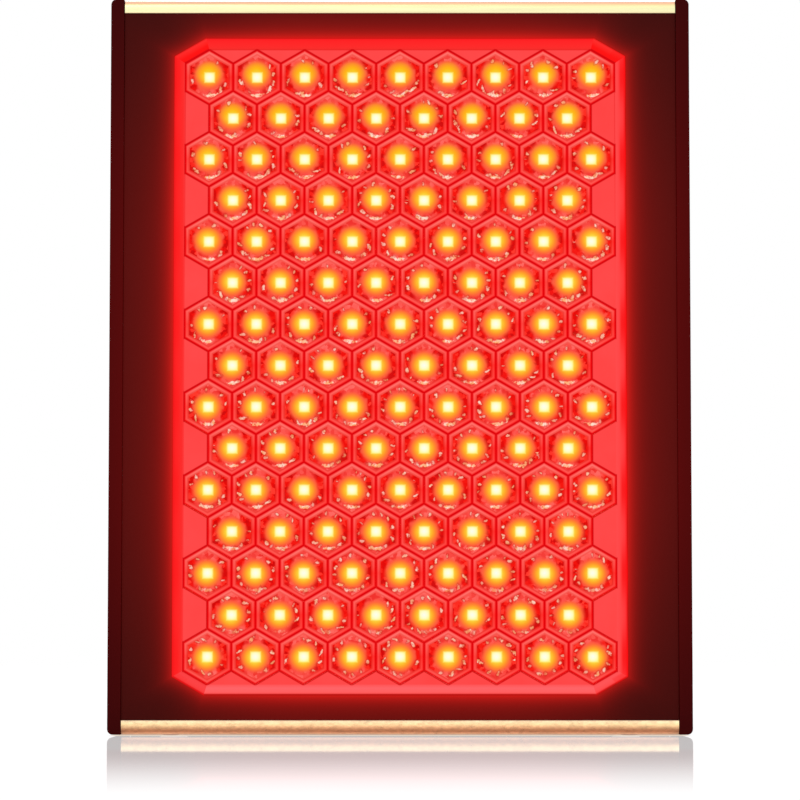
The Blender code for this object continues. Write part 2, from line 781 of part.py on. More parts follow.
def make_fan_frame(name, sign):
    centre = fan_place(sign)
    half = FAN_SIZE / 2
    outlines = [round_rectangle(half, half, FAN_CORNER, centre, ARC_STEPS // 2),
                circle(centre, FAN_BORE)]
    frame = as_mesh(plate(f"fan_frame_{name}", outlines, FAN_FRONT, FAN_DEPTH))
    spider = plate(f"fan_spider_{name}", [spider_outline(centre)], FAN_BACK - MOTOR_PLATE,
                   MOTOR_PLATE - HALF_FIT)
    combine(frame, as_mesh(spider), 'UNION')
    finish(smooth(frame), BLACK)


def blade_corner(radius, pitch, along, across):
    """A point of a blade whose section is wrapped round the fan's axis, which is Y."""
    turn = along * math.cos(pitch) - across * math.sin(pitch)
    rise = along * math.sin(pitch) + across * math.cos(pitch)
    angle = turn / radius
    return Vector((radius * math.cos(angle), rise, radius * math.sin(angle)))


def add_blade(shape, turn):
    """A twisted blade: sections from inside the hub to the tip, joined into one closed solid."""
    tip = FAN_BORE - BLADE_TIP_GAP
    root = HUB_RADIUS - BLADE_THICKNESS
    loops = []
    for station in range(BLADE_STATIONS):
        share = station / (BLADE_STATIONS - 1)
        radius = root + (tip - root) * share
        chord = BLADE_ROOT_CHORD + (BLADE_TIP_CHORD - BLADE_ROOT_CHORD) * share
        pitch = BLADE_ROOT_PITCH + (BLADE_TIP_PITCH - BLADE_ROOT_PITCH) * share
        side, half = chord / 2, BLADE_THICKNESS / 2
        spots = [(-side, -half), (0, -half), (side, -half), (side, half), (0, half), (-side, half)]
        corners = [blade_corner(radius, pitch, *spot) for spot in spots]
        loops.append([shape.verts.new(turn @ corner) for corner in corners])
    for here, there in zip(loops, loops[1:]):
        for index in range(len(here)):
            after = (index + 1) % len(here)
            shape.faces.new((here[index], here[after], there[after], there[index]))
    shape.faces.new(loops[0])
    shape.faces.new(loops[-1])


def make_fan_rotor(name, sign):
    """Hub and blades; the object's origin lies on the fan's axis."""
    x, z = fan_place(sign)
    back = FAN_BACK - MOTOR_PLATE - FIT
    middle = Vector((x, at_depth(back - HUB_LENGTH / 2), z))
    shape = bmesh.new()
    add_cylinder(shape, (0, 0, 0), HUB_RADIUS, HUB_LENGTH, 'Y')
    rotor = mesh_object(f"fan_rotor_{name}", shape, middle)
    blades = bmesh.new()
    for blade in range(BLADE_COUNT):
        add_blade(blades, Matrix.Rotation(blade * math.tau / BLADE_COUNT, 3, 'Y'))
    bmesh.ops.triangulate(blades, faces=blades.faces)
    combine(rotor, mesh_object(f"fan_blades_{name}", blades, middle), 'UNION')
    finish(smooth(rotor), BLACK)


def guard_outlines(centre):
    """A finger guard as a flat outline: rings joined by four spokes that end in screw lugs."""
    screw = (FAN_SIZE / 2 - GUARD_SCREW_EDGE) * math.sqrt(2)
    edge = []
    holes = []
    neck = math.asin(GUARD_LUG / GUARD_RADIUS)
    half = GUARD_SPOKE / 2
    for quarter in range(4):
        angle = (quarter + 0.5) * SQUARE
        tip = (centre[0] + screw * math.cos(angle), centre[1] + screw * math.sin(angle))
        edge += arc(tip, GUARD_LUG, angle - SQUARE, angle + SQUARE, GUARD_STEPS)
        edge += arc(centre, GUARD_RADIUS, angle + neck, angle + SQUARE - neck, GUARD_STEPS)
        for ring in range(GUARD_RINGS):
            inner = GUARD_HUB + ring * GUARD_PITCH
            far = inner + GUARD_PITCH - GUARD_WIRE
            near_turn, far_turn = math.asin(half / inner), math.asin(half / far)
            hole = arc(centre, far, angle + far_turn, angle + SQUARE - far_turn, GUARD_STEPS)
            hole += arc(centre, inner, angle + SQUARE - near_turn, angle + near_turn, GUARD_STEPS)
            holes.append(hole)
    return [edge] + holes


def make_fans():
    for name, sign in SIDES:
        make_fan_frame(name, sign)
        make_fan_rotor(name, sign)
        guard = plate(f"fan_guard_{name}", guard_outlines(fan_place(sign)),
                      HOUSING_DEPTH + FIT, GUARD_WIRE)
        finish(guard, STEEL)


def socket_outline():
    """Mouth of the mains inlet: a rectangle with its two lower corners cut off."""
    x, z, cut = SOCKET_WIDTH / 2, SOCKET_HEIGHT / 2, SOCKET_CUT
    low, high = INLET_Z - z, INLET_Z + z
    return [(-x + cut, low), (x - cut, low), (x, low + cut), (x, high), (-x, high), (-x, low + cut)]


def pin_places():
    """Names and centres of the three inlet pins, in X and Z."""
    return (("line", (-PIN_SPREAD, INLET_Z - PIN_STAGGER / 2)),
            ("neutral", (PIN_SPREAD, INLET_Z - PIN_STAGGER / 2)),
            ("earth", (0, INLET_Z + PIN_STAGGER / 2)))


def make_inlet():
    outer = HOUSING_DEPTH + FIT + INLET_FLANGE_THICKNESS
    inner = HOUSING_DEPTH + FIT - INLET_BODY
    floor = outer - SOCKET_DEPTH
    flange = round_rectangle(INLET_FLANGE_WIDTH / 2, INLET_FLANGE_HEIGHT / 2, INLET_CORNER,
                             (0, INLET_Z), ARC_STEPS // 2)
    body = as_mesh(plate("inlet_body", [flange], HOUSING_DEPTH + FIT, INLET_FLANGE_THICKNESS))
    block = rectangle(INLET_WIDTH / 2, INLET_HEIGHT / 2, (0, INLET_Z))
    depth = INLET_BODY + INLET_FLANGE_THICKNESS / 2
    combine(body, as_mesh(plate("inlet_block", [block], inner, depth)), 'UNION')
    mouth = plate("inlet_mouth", [socket_outline()], floor, SOCKET_DEPTH + OVERRUN)
    combine(body, as_mesh(mouth))
    holes = bmesh.new()
    for name, (x, z) in pin_places():
        half_x, half_z = PIN_WIDTH / 2, PIN_HEIGHT / 2
        low = (x - half_x - FIT, at_depth(inner - OVERRUN), z - half_z - FIT)
        high = (x + half_x + FIT, at_depth(floor + OVERRUN), z + half_z + FIT)
        add_box(holes, low, high)
        pin = box_object(f"inlet_pin_{name}", (x - half_x, at_depth(inner - PIN_TAIL), z - half_z),
                         (x + half_x, at_depth(floor + PIN_REACH), z + half_z))
        finish(soften(pin, PIN_EDGE, 1), BRASS)
    combine(body, mesh_object("inlet_pin_holes", holes))
    finish(body, BLACK)


def make_switches():
    """Two rocker switches; each rocker turns on its own X axis and rests switched on."""
    outer = HOUSING_DEPTH + FIT + SWITCH_FLANGE
    inner = HOUSING_DEPTH + FIT - SWITCH_BODY
    half_x, half_z = SWITCH_WIDTH / 2, SWITCH_HEIGHT / 2
    pocket_x, pocket_z = half_x - SWITCH_WALL, half_z - SWITCH_WALL
    swing = pocket_z - FIT
    reach = math.sqrt(swing ** 2 - ROCKER_RISE ** 2)
    belly = math.hypot(reach / 2, ROCKER_DEEP)
    for name, sign in SIDES:
        centre = (sign * SWITCH_SPACING / 2, SWITCH_Z)
        bezel = round_rectangle(half_x + SWITCH_BEZEL, half_z + SWITCH_BEZEL, SWITCH_BEZEL,
                                centre, ARC_STEPS // 2)
        housing = as_mesh(plate(f"switch_housing_{name}", [bezel], HOUSING_DEPTH + FIT,
                                SWITCH_FLANGE))
        block = plate(f"switch_block_{name}", [rectangle(half_x, half_z, centre)], inner,
                      SWITCH_BODY + SWITCH_FLANGE / 2)
        combine(housing, as_mesh(block), 'UNION')
        pocket = plate(f"switch_pocket_{name}", [rectangle(pocket_x, pocket_z, centre)],
                       outer - belly - FIT, belly + FIT + OVERRUN)
        combine(housing, as_mesh(pocket))
        finish(housing, BLACK)
        outline = [(-ROCKER_DEEP, -reach / 2), (-ROCKER_RISE, -reach), (ROCKER_RISE, -reach),
                   (0, 0), (ROCKER_RISE, reach), (-ROCKER_RISE, reach), (-ROCKER_DEEP, reach / 2)]
        rocker = as_mesh(extruded(f"switch_rocker_{name}", [outline[::-1]],
                                  2 * (pocket_x - FIT), 'X', 0))
        rocker.location = (centre[0], at_depth(outer), centre[1])
        rocker.rotation_euler = (-ROCKER_TILT, 0, 0)
        finish(rocker, COPPER_RED)


def make_drivers():
    """LED power boxes: a block with a screw tab above and below, against the rear cover."""
    back = at_depth(REAR_FRONT - FIT)
    front = back - DRIVER_DEPTH
    tab_front = back - DRIVER_TAB_THICKNESS
    low, high = DRIVER_MID_Z - DRIVER_HEIGHT / 2, DRIVER_MID_Z + DRIVER_HEIGHT / 2
    outline = [(front, low), (tab_front, low), (tab_front, low - DRIVER_TAB),
               (back, low - DRIVER_TAB), (back, high + DRIVER_TAB),
               (tab_front, high + DRIVER_TAB), (tab_front, high), (front, high)]
    for name, sign in SIDES:
        driver = extruded(f"led_driver_{name}", [outline], DRIVER_WIDTH, 'X', sign * DRIVER_X)
        finish(driver, ALUMINIUM)


def make_control_board():
    """Circuit board on four posts, with a relay for each switch."""
    board_back = REAR_FRONT - FIT - POST_HEIGHT
    half_x, half_z = CONTROL_WIDTH / 2, CONTROL_HEIGHT / 2
    sheet = rectangle(half_x, half_z, (0, CONTROL_Z))
    board = as_mesh(plate("control_board", [sheet], board_back - CONTROL_THICKNESS,
                          CONTROL_THICKNESS))
    fittings = bmesh.new()
    sunk = CONTROL_THICKNESS / 2
    post_length = POST_HEIGHT + sunk
    for side_x in (-1, 1):
        for side_z in (-1, 1):
            place = (side_x * (half_x - POST_INSET),
                     at_depth(board_back - sunk + post_length / 2),
                     CONTROL_Z + side_z * (half_z - POST_INSET))
            add_cylinder(fittings, place, POST_RADIUS, post_length, 'Y', LENS_SIDES)
        middle = side_x * half_x / 2
        relay_back = board_back - sunk
        add_box(fittings, (middle - RELAY_SIZE / 2, at_depth(relay_back - RELAY_HEIGHT),
                           CONTROL_Z - RELAY_SIZE / 2),
                (middle + RELAY_SIZE / 2, at_depth(relay_back), CONTROL_Z + RELAY_SIZE / 2))
    combine(board, mesh_object("control_fittings", fittings), 'UNION')
    finish(board, BOARD_GREEN)


def smooth_route(knots, steps=2):
    """Points on a smooth curve through the knots: each stretch is a cubic between two of them."""
    ends = [2 * knots[0] - knots[1]] + knots + [2 * knots[-1] - knots[-2]]
    points = []
    for before, here, there, after in zip(ends, ends[1:], ends[2:], ends[3:]):
        for step in range(steps):
            t = step / steps
            bend = 2 * here + (there - before) * t
            bend += (2 * before - 5 * here + 4 * there - after) * t ** 2
            bend += (3 * here - before - 3 * there + after) * t ** 3
            points.append(bend / 2)
    return points + [knots[-1]]


def make_mains_wires():
    """From the tails of the line and neutral pins to the inner side of each power box."""
    tail = at_depth(HOUSING_DEPTH + FIT - INLET_BODY - PIN_TAIL - 2 * FIT)
    run = at_depth(FIN_TOP + FIT + 2 * WIRE_RADIUS)
    entry = at_depth(REAR_FRONT - FIT - DRIVER_DEPTH / 2)
    side = DRIVER_X - DRIVER_WIDTH / 2 - 2 * FIT
    pins = dict(pin_places())
    for name, pin, sign in (("left", "line", -1), ("right", "neutral", 1)):
        x, z = pins[pin]
        knots = [
            Vector((x, tail, z)),
            Vector((x, tail - WIRE_RADIUS, z)),
            Vector((x + sign * WIRE_RADIUS, run, z + WIRE_SAG)),
            Vector((x + sign * WIRE_SAG, run, (z + DRIVER_MID_Z) / 2)),
            Vector((sign * (side - 3 * WIRE_SAG), run, DRIVER_MID_Z - WIRE_SAG)),
            Vector((sign * (side - WIRE_SAG), entry, DRIVER_MID_Z)),
            Vector((sign * side, entry, DRIVER_MID_Z)),
        ]
        finish(tube(f"mains_wire_{name}", smooth_route(knots), WIRE_RADIUS), RUBBER)


def make_stand():
    """Bent wire stand; its origin lies on the line through the two brackets, which it turns on."""
    half = STAND_WIDTH / 2
    drop = STAND_PIVOT_RISE - STAND_FOOT_RISE
    end = half - ROD_BEND - EAR_GAP - EAR_THICKNESS - ROD_TAIL
    flat = [(end, 0)]
    flat += arc((half - ROD_BEND, -ROD_BEND), ROD_BEND, SQUARE, 0, ROD_STEPS)
    flat += arc((half - ROD_BEND, -drop + ROD_BEND), ROD_BEND, 0, -SQUARE, ROD_STEPS)
    points = [(x, 0, z) for x, z in flat]
    points += [(-x, 0, z) for x, z in flat[::-1]]
    rod = tube("stand", points, ROD_RADIUS, (0, at_depth(ROD_DEPTH), PIVOT_Z))
    finish(rod, STEEL)


def make_brackets():
    """Angle brackets: a base on the rear cover and an ear with a hole for the stand's end."""
    ear_out = STAND_WIDTH / 2 - ROD_BEND - EAR_GAP
    ear_in = ear_out - EAR_THICKNESS
    base = at_depth(HOUSING_DEPTH + FIT)
    tip, step = at_depth(EAR_REACH), base + EAR_THICKNESS
    outline = [(ear_out - BRACKET_BASE, base), (ear_out, base), (ear_out, tip), (ear_in, tip),
               (ear_in, step), (ear_out - BRACKET_BASE, step)]
    for name, sign in SIDES:
        points = outline if sign > 0 else [(-x, y) for x, y in outline[::-1]]
        bracket = as_mesh(extruded(f"stand_bracket_{name}", [points], BRACKET_HEIGHT, 'Z', PIVOT_Z))
        hole = bmesh.new()
        place = (sign * (ear_in + ear_out) / 2, at_depth(ROD_DEPTH), PIVOT_Z)
        add_cylinder(hole, place, ROD_RADIUS + FIT, EAR_THICKNESS + OVERRUN, 'X', 2 * LENS_SIDES)
        combine(bracket, mesh_object(f"stand_hole_{name}", hole))
        finish(bracket, STEEL)


def make_rear_cover():
    """Flat sheet with round fan openings, the inlet and switch openings, vents and screw holes."""
    half_z = (BODY_TOP - RAIL_LIFT) / 2
    outlines = [rectangle(PLATE_HALF_WIDTH, half_z, (0, RAIL_LIFT + half_z))]
    for _, sign in SIDES:
        outlines.append(circle(fan_place(sign), FAN_BORE))
        outlines.append(rectangle(SWITCH_WIDTH / 2 + FIT, SWITCH_HEIGHT / 2 + FIT,
                                  (sign * SWITCH_SPACING / 2, SWITCH_Z)))
        for vent in range(REAR_VENTS):
            height = RAIL_LIFT + REAR_VENT_RISE + vent * REAR_VENT_PITCH
            outlines.append(slot((sign * DRIVER_X, height), REAR_VENT_LENGTH, VENT_WIDTH))
    for vent in range(TOP_VENTS):
        height = CONTROL_Z + (vent - (TOP_VENTS - 1) / 2) * REAR_VENT_PITCH
        outlines.append(slot((0, height), REAR_VENT_LENGTH, VENT_WIDTH))
    outlines.append(rectangle(INLET_WIDTH / 2 + FIT, INLET_HEIGHT / 2 + FIT, (0, INLET_Z)))
    outlines += [circle(place, SCREW_RADIUS + FIT, LENS_SIDES) for place in screw_places()]
    finish(plate("rear_cover", outlines, REAR_FRONT, REAR_THICKNESS), BLACK)


def make_screws():
    """Round-headed screws, heads to the back."""
    profile = [(0, SCREW_HEAD_HEIGHT), (SCREW_HEAD_RADIUS * SCREW_CROWN_SHARE, SCREW_HEAD_HEIGHT),
               (SCREW_HEAD_RADIUS, SCREW_HEAD_HEIGHT / 2), (SCREW_HEAD_RADIUS, 0),
               (SCREW_RADIUS, 0), (SCREW_RADIUS, -SCREW_LENGTH), (0, -SCREW_LENGTH)]
    for number, (x, z) in enumerate(screw_places(), start=1):
        place = (x, at_depth(HOUSING_DEPTH + FIT), z)
        screw = turned(f"rear_screw_{number}", profile, place, LENS_SIDES)
        screw.rotation_euler = (-SQUARE, 0, 0)
        finish(screw, STEEL)


def make_feet():
    profile = [(0, FOOT_HEIGHT), (FOOT_RADIUS, FOOT_HEIGHT), (FOOT_RADIUS, FOOT_EDGE),
               (FOOT_RADIUS - FOOT_EDGE, 0), (0, 0)]
    side = PANEL_HALF_WIDTH - FOOT_INSET
    depths = (("front", FOOT_DEPTH_INSET), ("rear", HOUSING_DEPTH - FOOT_DEPTH_INSET))
    for name, sign in SIDES:
        for end, depth in depths:
            place = (sign * side, at_depth(depth), 0)
            finish(turned(f"foot_{end}_{name}", profile, place, ROUND_STEPS // 2), RUBBER)


make_rails()
make_trims()
make_covers()
make_front_plate()
make_lens_tray()
make_lens_field()
make_led_board()
make_heat_sink()
make_fans()
make_inlet()
make_switches()
make_drivers()
make_control_board()
make_mains_wires()
make_stand()
make_brackets()
make_rear_cover()
make_screws()
make_feet()
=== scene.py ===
# %% [markdown]
# # A red light therapy panel, dressed
#
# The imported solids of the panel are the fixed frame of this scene. Each step below says what a piece
# or a finish is on the real object, how it could be made in Blender, and why one way was chosen.
# Lengths are metres, X runs to the right, Y to the back and Z up.

# %% Load the frame
import math
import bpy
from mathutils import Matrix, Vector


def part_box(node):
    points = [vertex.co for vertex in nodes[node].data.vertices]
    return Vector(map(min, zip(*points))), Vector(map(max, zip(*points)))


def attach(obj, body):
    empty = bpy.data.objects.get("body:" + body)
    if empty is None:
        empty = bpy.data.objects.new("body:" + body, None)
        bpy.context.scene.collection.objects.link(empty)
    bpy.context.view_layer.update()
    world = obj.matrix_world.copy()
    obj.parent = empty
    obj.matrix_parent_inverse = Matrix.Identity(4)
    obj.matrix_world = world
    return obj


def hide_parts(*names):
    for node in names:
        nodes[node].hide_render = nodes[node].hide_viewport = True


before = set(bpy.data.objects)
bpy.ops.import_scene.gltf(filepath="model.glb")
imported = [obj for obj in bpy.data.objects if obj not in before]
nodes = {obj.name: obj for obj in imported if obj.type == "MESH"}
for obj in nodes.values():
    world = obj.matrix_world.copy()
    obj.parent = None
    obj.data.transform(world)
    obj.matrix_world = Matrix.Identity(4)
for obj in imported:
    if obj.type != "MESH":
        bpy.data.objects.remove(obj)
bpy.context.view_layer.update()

from types import SimpleNamespace

import bmesh
import bpy
import numpy as np
from mathutils import Vector

# %% [markdown]
# ## Sizes taken from the frame
#
# A scene could repeat every size of the model as a number. Reading them from the solids keeps the
# two in step: the lens plane and the plate's middle come from node boxes. Only the lens pitch, the
# rows and the bevel's width are written down again, because a box doesn't hold them.

# %% Sizes
MM = 0.001
SIDES = ("left", "right")
PITCH = 22 * MM
ROWS = 15
LONG_ROW = 9
ROW_PITCH = PITCH * math.sqrt(3) / 2
CELL_RADIUS = PITCH / math.sqrt(3)
BEVEL = 4.65 * MM

plate_low, plate_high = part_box("front_plate")
bank_low, bank_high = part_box("lens_bank_1")
MIDDLE_Z = (plate_low.z + plate_high.z) / 2
LENS_Y = bank_low.y
FIELD_HALF_X = PITCH * LONG_ROW / 2
FIELD_HALF_Z = ROW_PITCH * (ROWS - 1) / 2 + CELL_RADIUS
print("lens plane y", round(LENS_Y, 5), "middle z", round(MIDDLE_Z, 5))

# %% [markdown]
# ## The camera
#
# The picture looks up a little from just above the table. A camera could be placed by eye and
# nudged, but the grid of lenses gives it exactly: a fit of the 128 lens centres gave the distance,
# height and tilt that are given below, and a long lens that keeps the panel's sides almost parallel.

# %% Camera
CAMERA_DISTANCE = 1.578
CAMERA_DROP = 0.1283
CAMERA_TILT = math.radians(90 + 4.07)

camera_data = bpy.data.cameras.new("camera")
camera_data.lens = 155.25
camera_data.sensor_width = 36.0
camera_data.clip_start = 0.01
camera_data.clip_end = 50
camera = bpy.data.objects.new("camera", camera_data)
camera.location = (0, LENS_Y - CAMERA_DISTANCE, MIDDLE_Z - CAMERA_DROP)
camera.rotation_euler = (CAMERA_TILT, 0, 0)
bpy.context.scene.collection.objects.link(camera)
bpy.context.scene.camera = camera
bpy.context.scene.view_settings.view_transform = 'Standard'
print("camera", [round(v, 4) for v in camera.location])

# %% [markdown]
# ## Colours
#
# A finish is described by how it looks on a screen, in steps from 0 to 255. Shaders count light
# instead. One function turns the one into the other, and every matched colour goes through it.

# %% Colours
WHITE = (1, 1, 1, 1)


def screen(red, green, blue):
    """A screen colour from 0 to 255 as linear light: below 0.04045 divide, above raise to 2.4."""
    values = np.array([red, green, blue]) / 255
    low = values / 12.92
    high = ((values + 0.055) / 1.055) ** 2.4
    return (*np.where(values <= 0.04045, low, high).tolist(), 1.0)


print("half grey as light:", round(screen(128, 128, 128)[0], 4))

# %% [markdown]
# ## Nodes that read like sums
#
# A material is a tree of nodes joined by links. Typing every link by hand hides the idea. Here an
# output of a node is held as a wire, and a sum, a product or a comparison of wires makes the Math
# node for it, so that a line of a material reads like the sentence that explains it. All helpers
# work on the tree that was opened last.

# %% Wires
work = SimpleNamespace(tree=None)


class Wire:
    """One output of a node. What is done with it makes a Math node in the open tree."""

    def __init__(self, socket):
        self.socket = socket

    def __add__(self, other):
        return math_node('ADD', self, other)

    def __sub__(self, other):
        return math_node('SUBTRACT', self, other)

    def __rsub__(self, other):
        return math_node('SUBTRACT', other, self)

    def __mul__(self, other):
        return math_node('MULTIPLY', self, other)

    def __truediv__(self, other):
        return math_node('DIVIDE', self, other)

    def __gt__(self, other):
        return math_node('GREATER_THAN', self, other)

    def __abs__(self):
        return math_node('ABSOLUTE', self)


def join(source, target):
    """Link a wire to an input, or set the input's own value."""
    if isinstance(source, Wire):
        work.tree.links.new(source.socket, target)
    else:
        target.default_value = source


def node(kind, inputs=None, **settings):
    """A new node with its properties set and its inputs joined: its outputs by number and name."""
    made = work.tree.nodes.new(kind)
    for name, value in settings.items():
        setattr(made, name, value)
    for key, value in (inputs or {}).items():
        join(value, made.inputs[key])
    return {key: Wire(socket) for number, socket in enumerate(made.outputs) for key in (number, socket.name)}


def math_node(operation, *values, clamp=False):
    """One step of arithmetic on wires or numbers."""
    return node('ShaderNodeMath', dict(enumerate(values)), operation=operation, use_clamp=clamp)[0]


def vector_node(operation, *vectors):
    """One step of arithmetic on vectors."""
    return node('ShaderNodeVectorMath', dict(enumerate(vectors)), operation=operation)


print("a wire can be added, subtracted, multiplied, divided and compared")

# %% [markdown]
# A few steps come up again and again: a straight line through a value, a soft step, the largest of
# some values, the parts of a place, noise, and a ramp of tones. A ramp's stop is a place from 0 to 1
# and the three steps of its screen colour.

# %% Steps of a material
def line(value, slope, base):
    """A straight line: the value times a slope, plus a base."""
    return math_node('MULTIPLY_ADD', value, slope, base)


def swing(value, depth, middle=0.0):
    """A value's swing about a half, made a swing of a given depth about a middle."""
    return line(value, depth, middle - depth / 2)


def largest(first, *others):
    """The largest of some values."""
    for other in others:
        first = math_node('MAXIMUM', first, other)
    return first


def smooth(value, low, high):
    """A value's smooth step from 0 at low to 1 at high."""
    return node('ShaderNodeMapRange', {0: value, 1: low, 2: high}, interpolation_type='SMOOTHSTEP')[0]


def split(vector):
    """The three parts of a vector."""
    return node('ShaderNodeSeparateXYZ', {0: vector})


def flat_vector(first, second):
    """A vector of two values, with zero as the third."""
    return node('ShaderNodeCombineXYZ', {0: first, 1: second})[0]


def length(vector):
    """The length of a vector."""
    return vector_node('LENGTH', vector)['Value']


def scaled(vector, factor):
    """A vector or a colour times one number."""
    return node('ShaderNodeVectorMath', {0: vector, 'Scale': factor}, operation='SCALE')[0]


def noise(place, scale, detail, dimensions='3D', roughness=0.5):
    """Noise at a place: a value from 0 to 1, and a colour."""
    return node('ShaderNodeTexNoise', {'Vector': place, 'Scale': scale, 'Detail': detail,
                                       'Roughness': roughness}, noise_dimensions=dimensions)


def mix(factor, first, second):
    """The first colour where the factor is 0, and the second where it is 1."""
    return node('ShaderNodeMix', {0: factor, 6: first, 7: second}, data_type='RGBA')[2]


def ramp(factor, *stops):
    """A colour that follows a factor through stops of place, red, green and blue."""
    made = work.tree.nodes.new('ShaderNodeValToRGB')
    join(factor, made.inputs[0])
    elements = made.color_ramp.elements
    while len(elements) < len(stops):
        elements.new(0.5)
    for element, (place, *colour) in zip(elements, stops):
        element.position = place
        element.color = screen(*colour)
    return Wire(made.outputs[0])


print("a swing of 0.3 about 1 runs from", 1 - 0.3 / 2, "to", 1 + 0.3 / 2)

# %% [markdown]
# A finish that several pieces share is a node group, so that it is made once and changed in one
# place. A group gives colours, masks and heights only. The shader stays in the material, where its
# constant values are set on its own inputs.

# %% Materials and groups
VECTOR, VALUE, COLOUR = 'NodeSocketVector', 'NodeSocketFloat', 'NodeSocketColor'


def open_tree(owner):
    """Work on the nodes of a material or a world from here on."""
    owner.use_nodes = True
    work.tree = owner.node_tree
    return work.tree.nodes


def feed(shader, **values):
    """Join wires to a shader's inputs or set their values. An underscore stands for a space."""
    for key, value in values.items():
        join(value, shader.inputs[key.replace('_', ' ')])


def new_material(name, **values):
    """A material and its Principled shader, with constant values set on the shader's own sockets."""
    material = bpy.data.materials.new(name)
    shader = open_tree(material)["Principled BSDF"]
    feed(shader, **values)
    return material, shader


def new_group(name, inputs, outputs):
    """A node group and its inputs as wires. A number in place of a kind is a value's default."""
    group = bpy.data.node_groups.new(name, 'ShaderNodeTree')
    for label, kind in inputs.items():
        is_kind = isinstance(kind, str)
        socket = group.interface.new_socket(label, in_out='INPUT', socket_type=kind if is_kind else VALUE)
        if not is_kind:
            socket.default_value = kind
    for label, kind in outputs.items():
        group.interface.new_socket(label, in_out='OUTPUT', socket_type=kind)
    group.nodes.new('NodeGroupOutput')
    work.tree = group
    return group, [Wire(socket) for socket in group.nodes.new('NodeGroupInput').outputs]


def deliver(*wires):
    """Join wires to the outputs of the open group, in their order."""
    for wire, socket in zip(wires, work.tree.nodes["Group Output"].inputs):
        join(wire, socket)


def use_group(group, **inputs):
    """A group set in the open tree, with its inputs joined by name: its outputs."""
    return node('ShaderNodeGroup', inputs, node_tree=group)


def piece_place():
    """The place on a piece, in the piece's own coordinates."""
    return node('ShaderNodeTexCoord')['Object']


def roughen(shader, height, strength, distance):
    """Bump on a shader: a height from 0 to 1, at a strength, over a distance."""
    feed(shader, Normal=node('ShaderNodeBump', {'Strength': strength, 'Distance': distance,
                                                'Height': height})[0])


def dress(name, material):
    """Give a solid of the frame its material."""
    mesh = nodes[name].data
    mesh.materials.clear()
    mesh.materials.append(material)


print("kinds of group sockets:", VECTOR, VALUE, COLOUR)

# %% [markdown]
# ## The floor
#
# The panel stands on a wide white surface. A thick slab would do, but only its top is ever seen, so
# one square face is enough. It is staging and not a piece of the panel.

# %% Floor face
FLOOR_SIZE = 12.0
half_floor = FLOOR_SIZE / 2
floor_mesh = bpy.data.meshes.new("floor")
floor_mesh.from_pydata([(-half_floor, -half_floor, 0), (half_floor, -half_floor, 0),
                        (half_floor, half_floor, 0), (-half_floor, half_floor, 0)],
                       [], [(0, 1, 2, 3)])
floor = bpy.data.objects.new("floor", floor_mesh)
bpy.context.scene.collection.objects.link(floor)
print("floor side:", FLOOR_SIZE)

# %% [markdown]
# The surface mirrors the panel faintly, and the mirror image fades towards the viewer. A real
# mirror would never fade, so the amount of gloss follows the distance in front of the panel. Under
# the panel the floor is dull with a painted warm shade, and beyond the image of the gold bar a
# painted pink glow stands for the light of the lenses. Each of these parts is a mask made of
# smooth steps.

# %% Floor masks
MIRROR_NEAR = 0.50
MIRROR_RANGE = (0.22, 0.70)
UNDER_FRONT = (0.5 * MM, -1.5 * MM)
UNDER_REAR = (-44 * MM, -38 * MM)
UNDER_SIDE = (133 * MM, 131 * MM)
UNDER_LOSS = 0.8
LENS_GLOW_SIDE = (136 * MM, 96 * MM)
LENS_GLOW_AHEAD = (170 * MM, 235 * MM)

floor_material = bpy.data.materials.new("white_floor")
open_tree(floor_material).clear()
place = split(piece_place())
ahead, aside = plate_low.y - place[1], abs(place[0])
fade = 1.0 - smooth(ahead, *MIRROR_RANGE)
# Painted warm shade under the panel, where the gloss is lowered too.
under = smooth(ahead, *UNDER_FRONT) * smooth(ahead, *UNDER_REAR) * smooth(aside, *UNDER_SIDE)
# Painted pink glow from the lenses on the floor ahead of the panel.
painted_lens_glow = fade * smooth(aside, *LENS_GLOW_SIDE) * smooth(ahead, *LENS_GLOW_AHEAD)
mirror = fade * MIRROR_NEAR * line(under, -UNDER_LOSS, 1.0)
print("mirror image fades from", MIRROR_RANGE[0], "to", MIRROR_RANGE[1], "metres ahead")

# %% [markdown]
# The surface itself is plain white and diffuse, which keeps the shadow. The camera sees a little
# light added to it, so that it meets the white backdrop without a line. Only rays from the camera
# see that light and the gloss, so the panel is lit as by a plain floor.

# %% Floor look
FLOOR_WHITE = (0.9, 0.9, 0.9, 1)
LENS_GLOW_TONE = (1.02, 0.93, 0.93, 1)
LIFT_STRENGTH = 1.14
LIFT_SHARE = 0.8
GLOSS_ROUGHNESS = 0.03

# The floor's tone holds the painted warm shade under the panel and the painted pink glow of the lenses.
floor_tone = mix(under, mix(painted_lens_glow, WHITE, LENS_GLOW_TONE), screen(243, 226, 207))
seen = node('ShaderNodeLightPath')['Is Camera Ray']
diffuse = node('ShaderNodeBsdfDiffuse', {'Color': FLOOR_WHITE})[0]
lift = node('ShaderNodeEmission', {'Color': floor_tone, 'Strength': LIFT_STRENGTH})[0]
matte = node('ShaderNodeMixShader', {0: seen * LIFT_SHARE, 1: diffuse, 2: lift})[0]
gloss = node('ShaderNodeBsdfGlossy', {'Color': WHITE, 'Roughness': GLOSS_ROUGHNESS})[0]
node('ShaderNodeOutputMaterial', {0: node('ShaderNodeMixShader', {0: mirror * seen, 1: matte, 2: gloss})[0]})
floor_mesh.materials.append(floor_material)
print("floor nodes:", len(work.tree.nodes))

# %% [markdown]
# ## Backdrop and lamps
#
# A product picture has a pure white backdrop. Painting it with strong light would wash out the
# panel, so the world lights the panel softly, and only rays that go straight to the camera, are
# mirrored or pass through something see it at full white.

# %% World
WORLD_LIGHT = 0.55

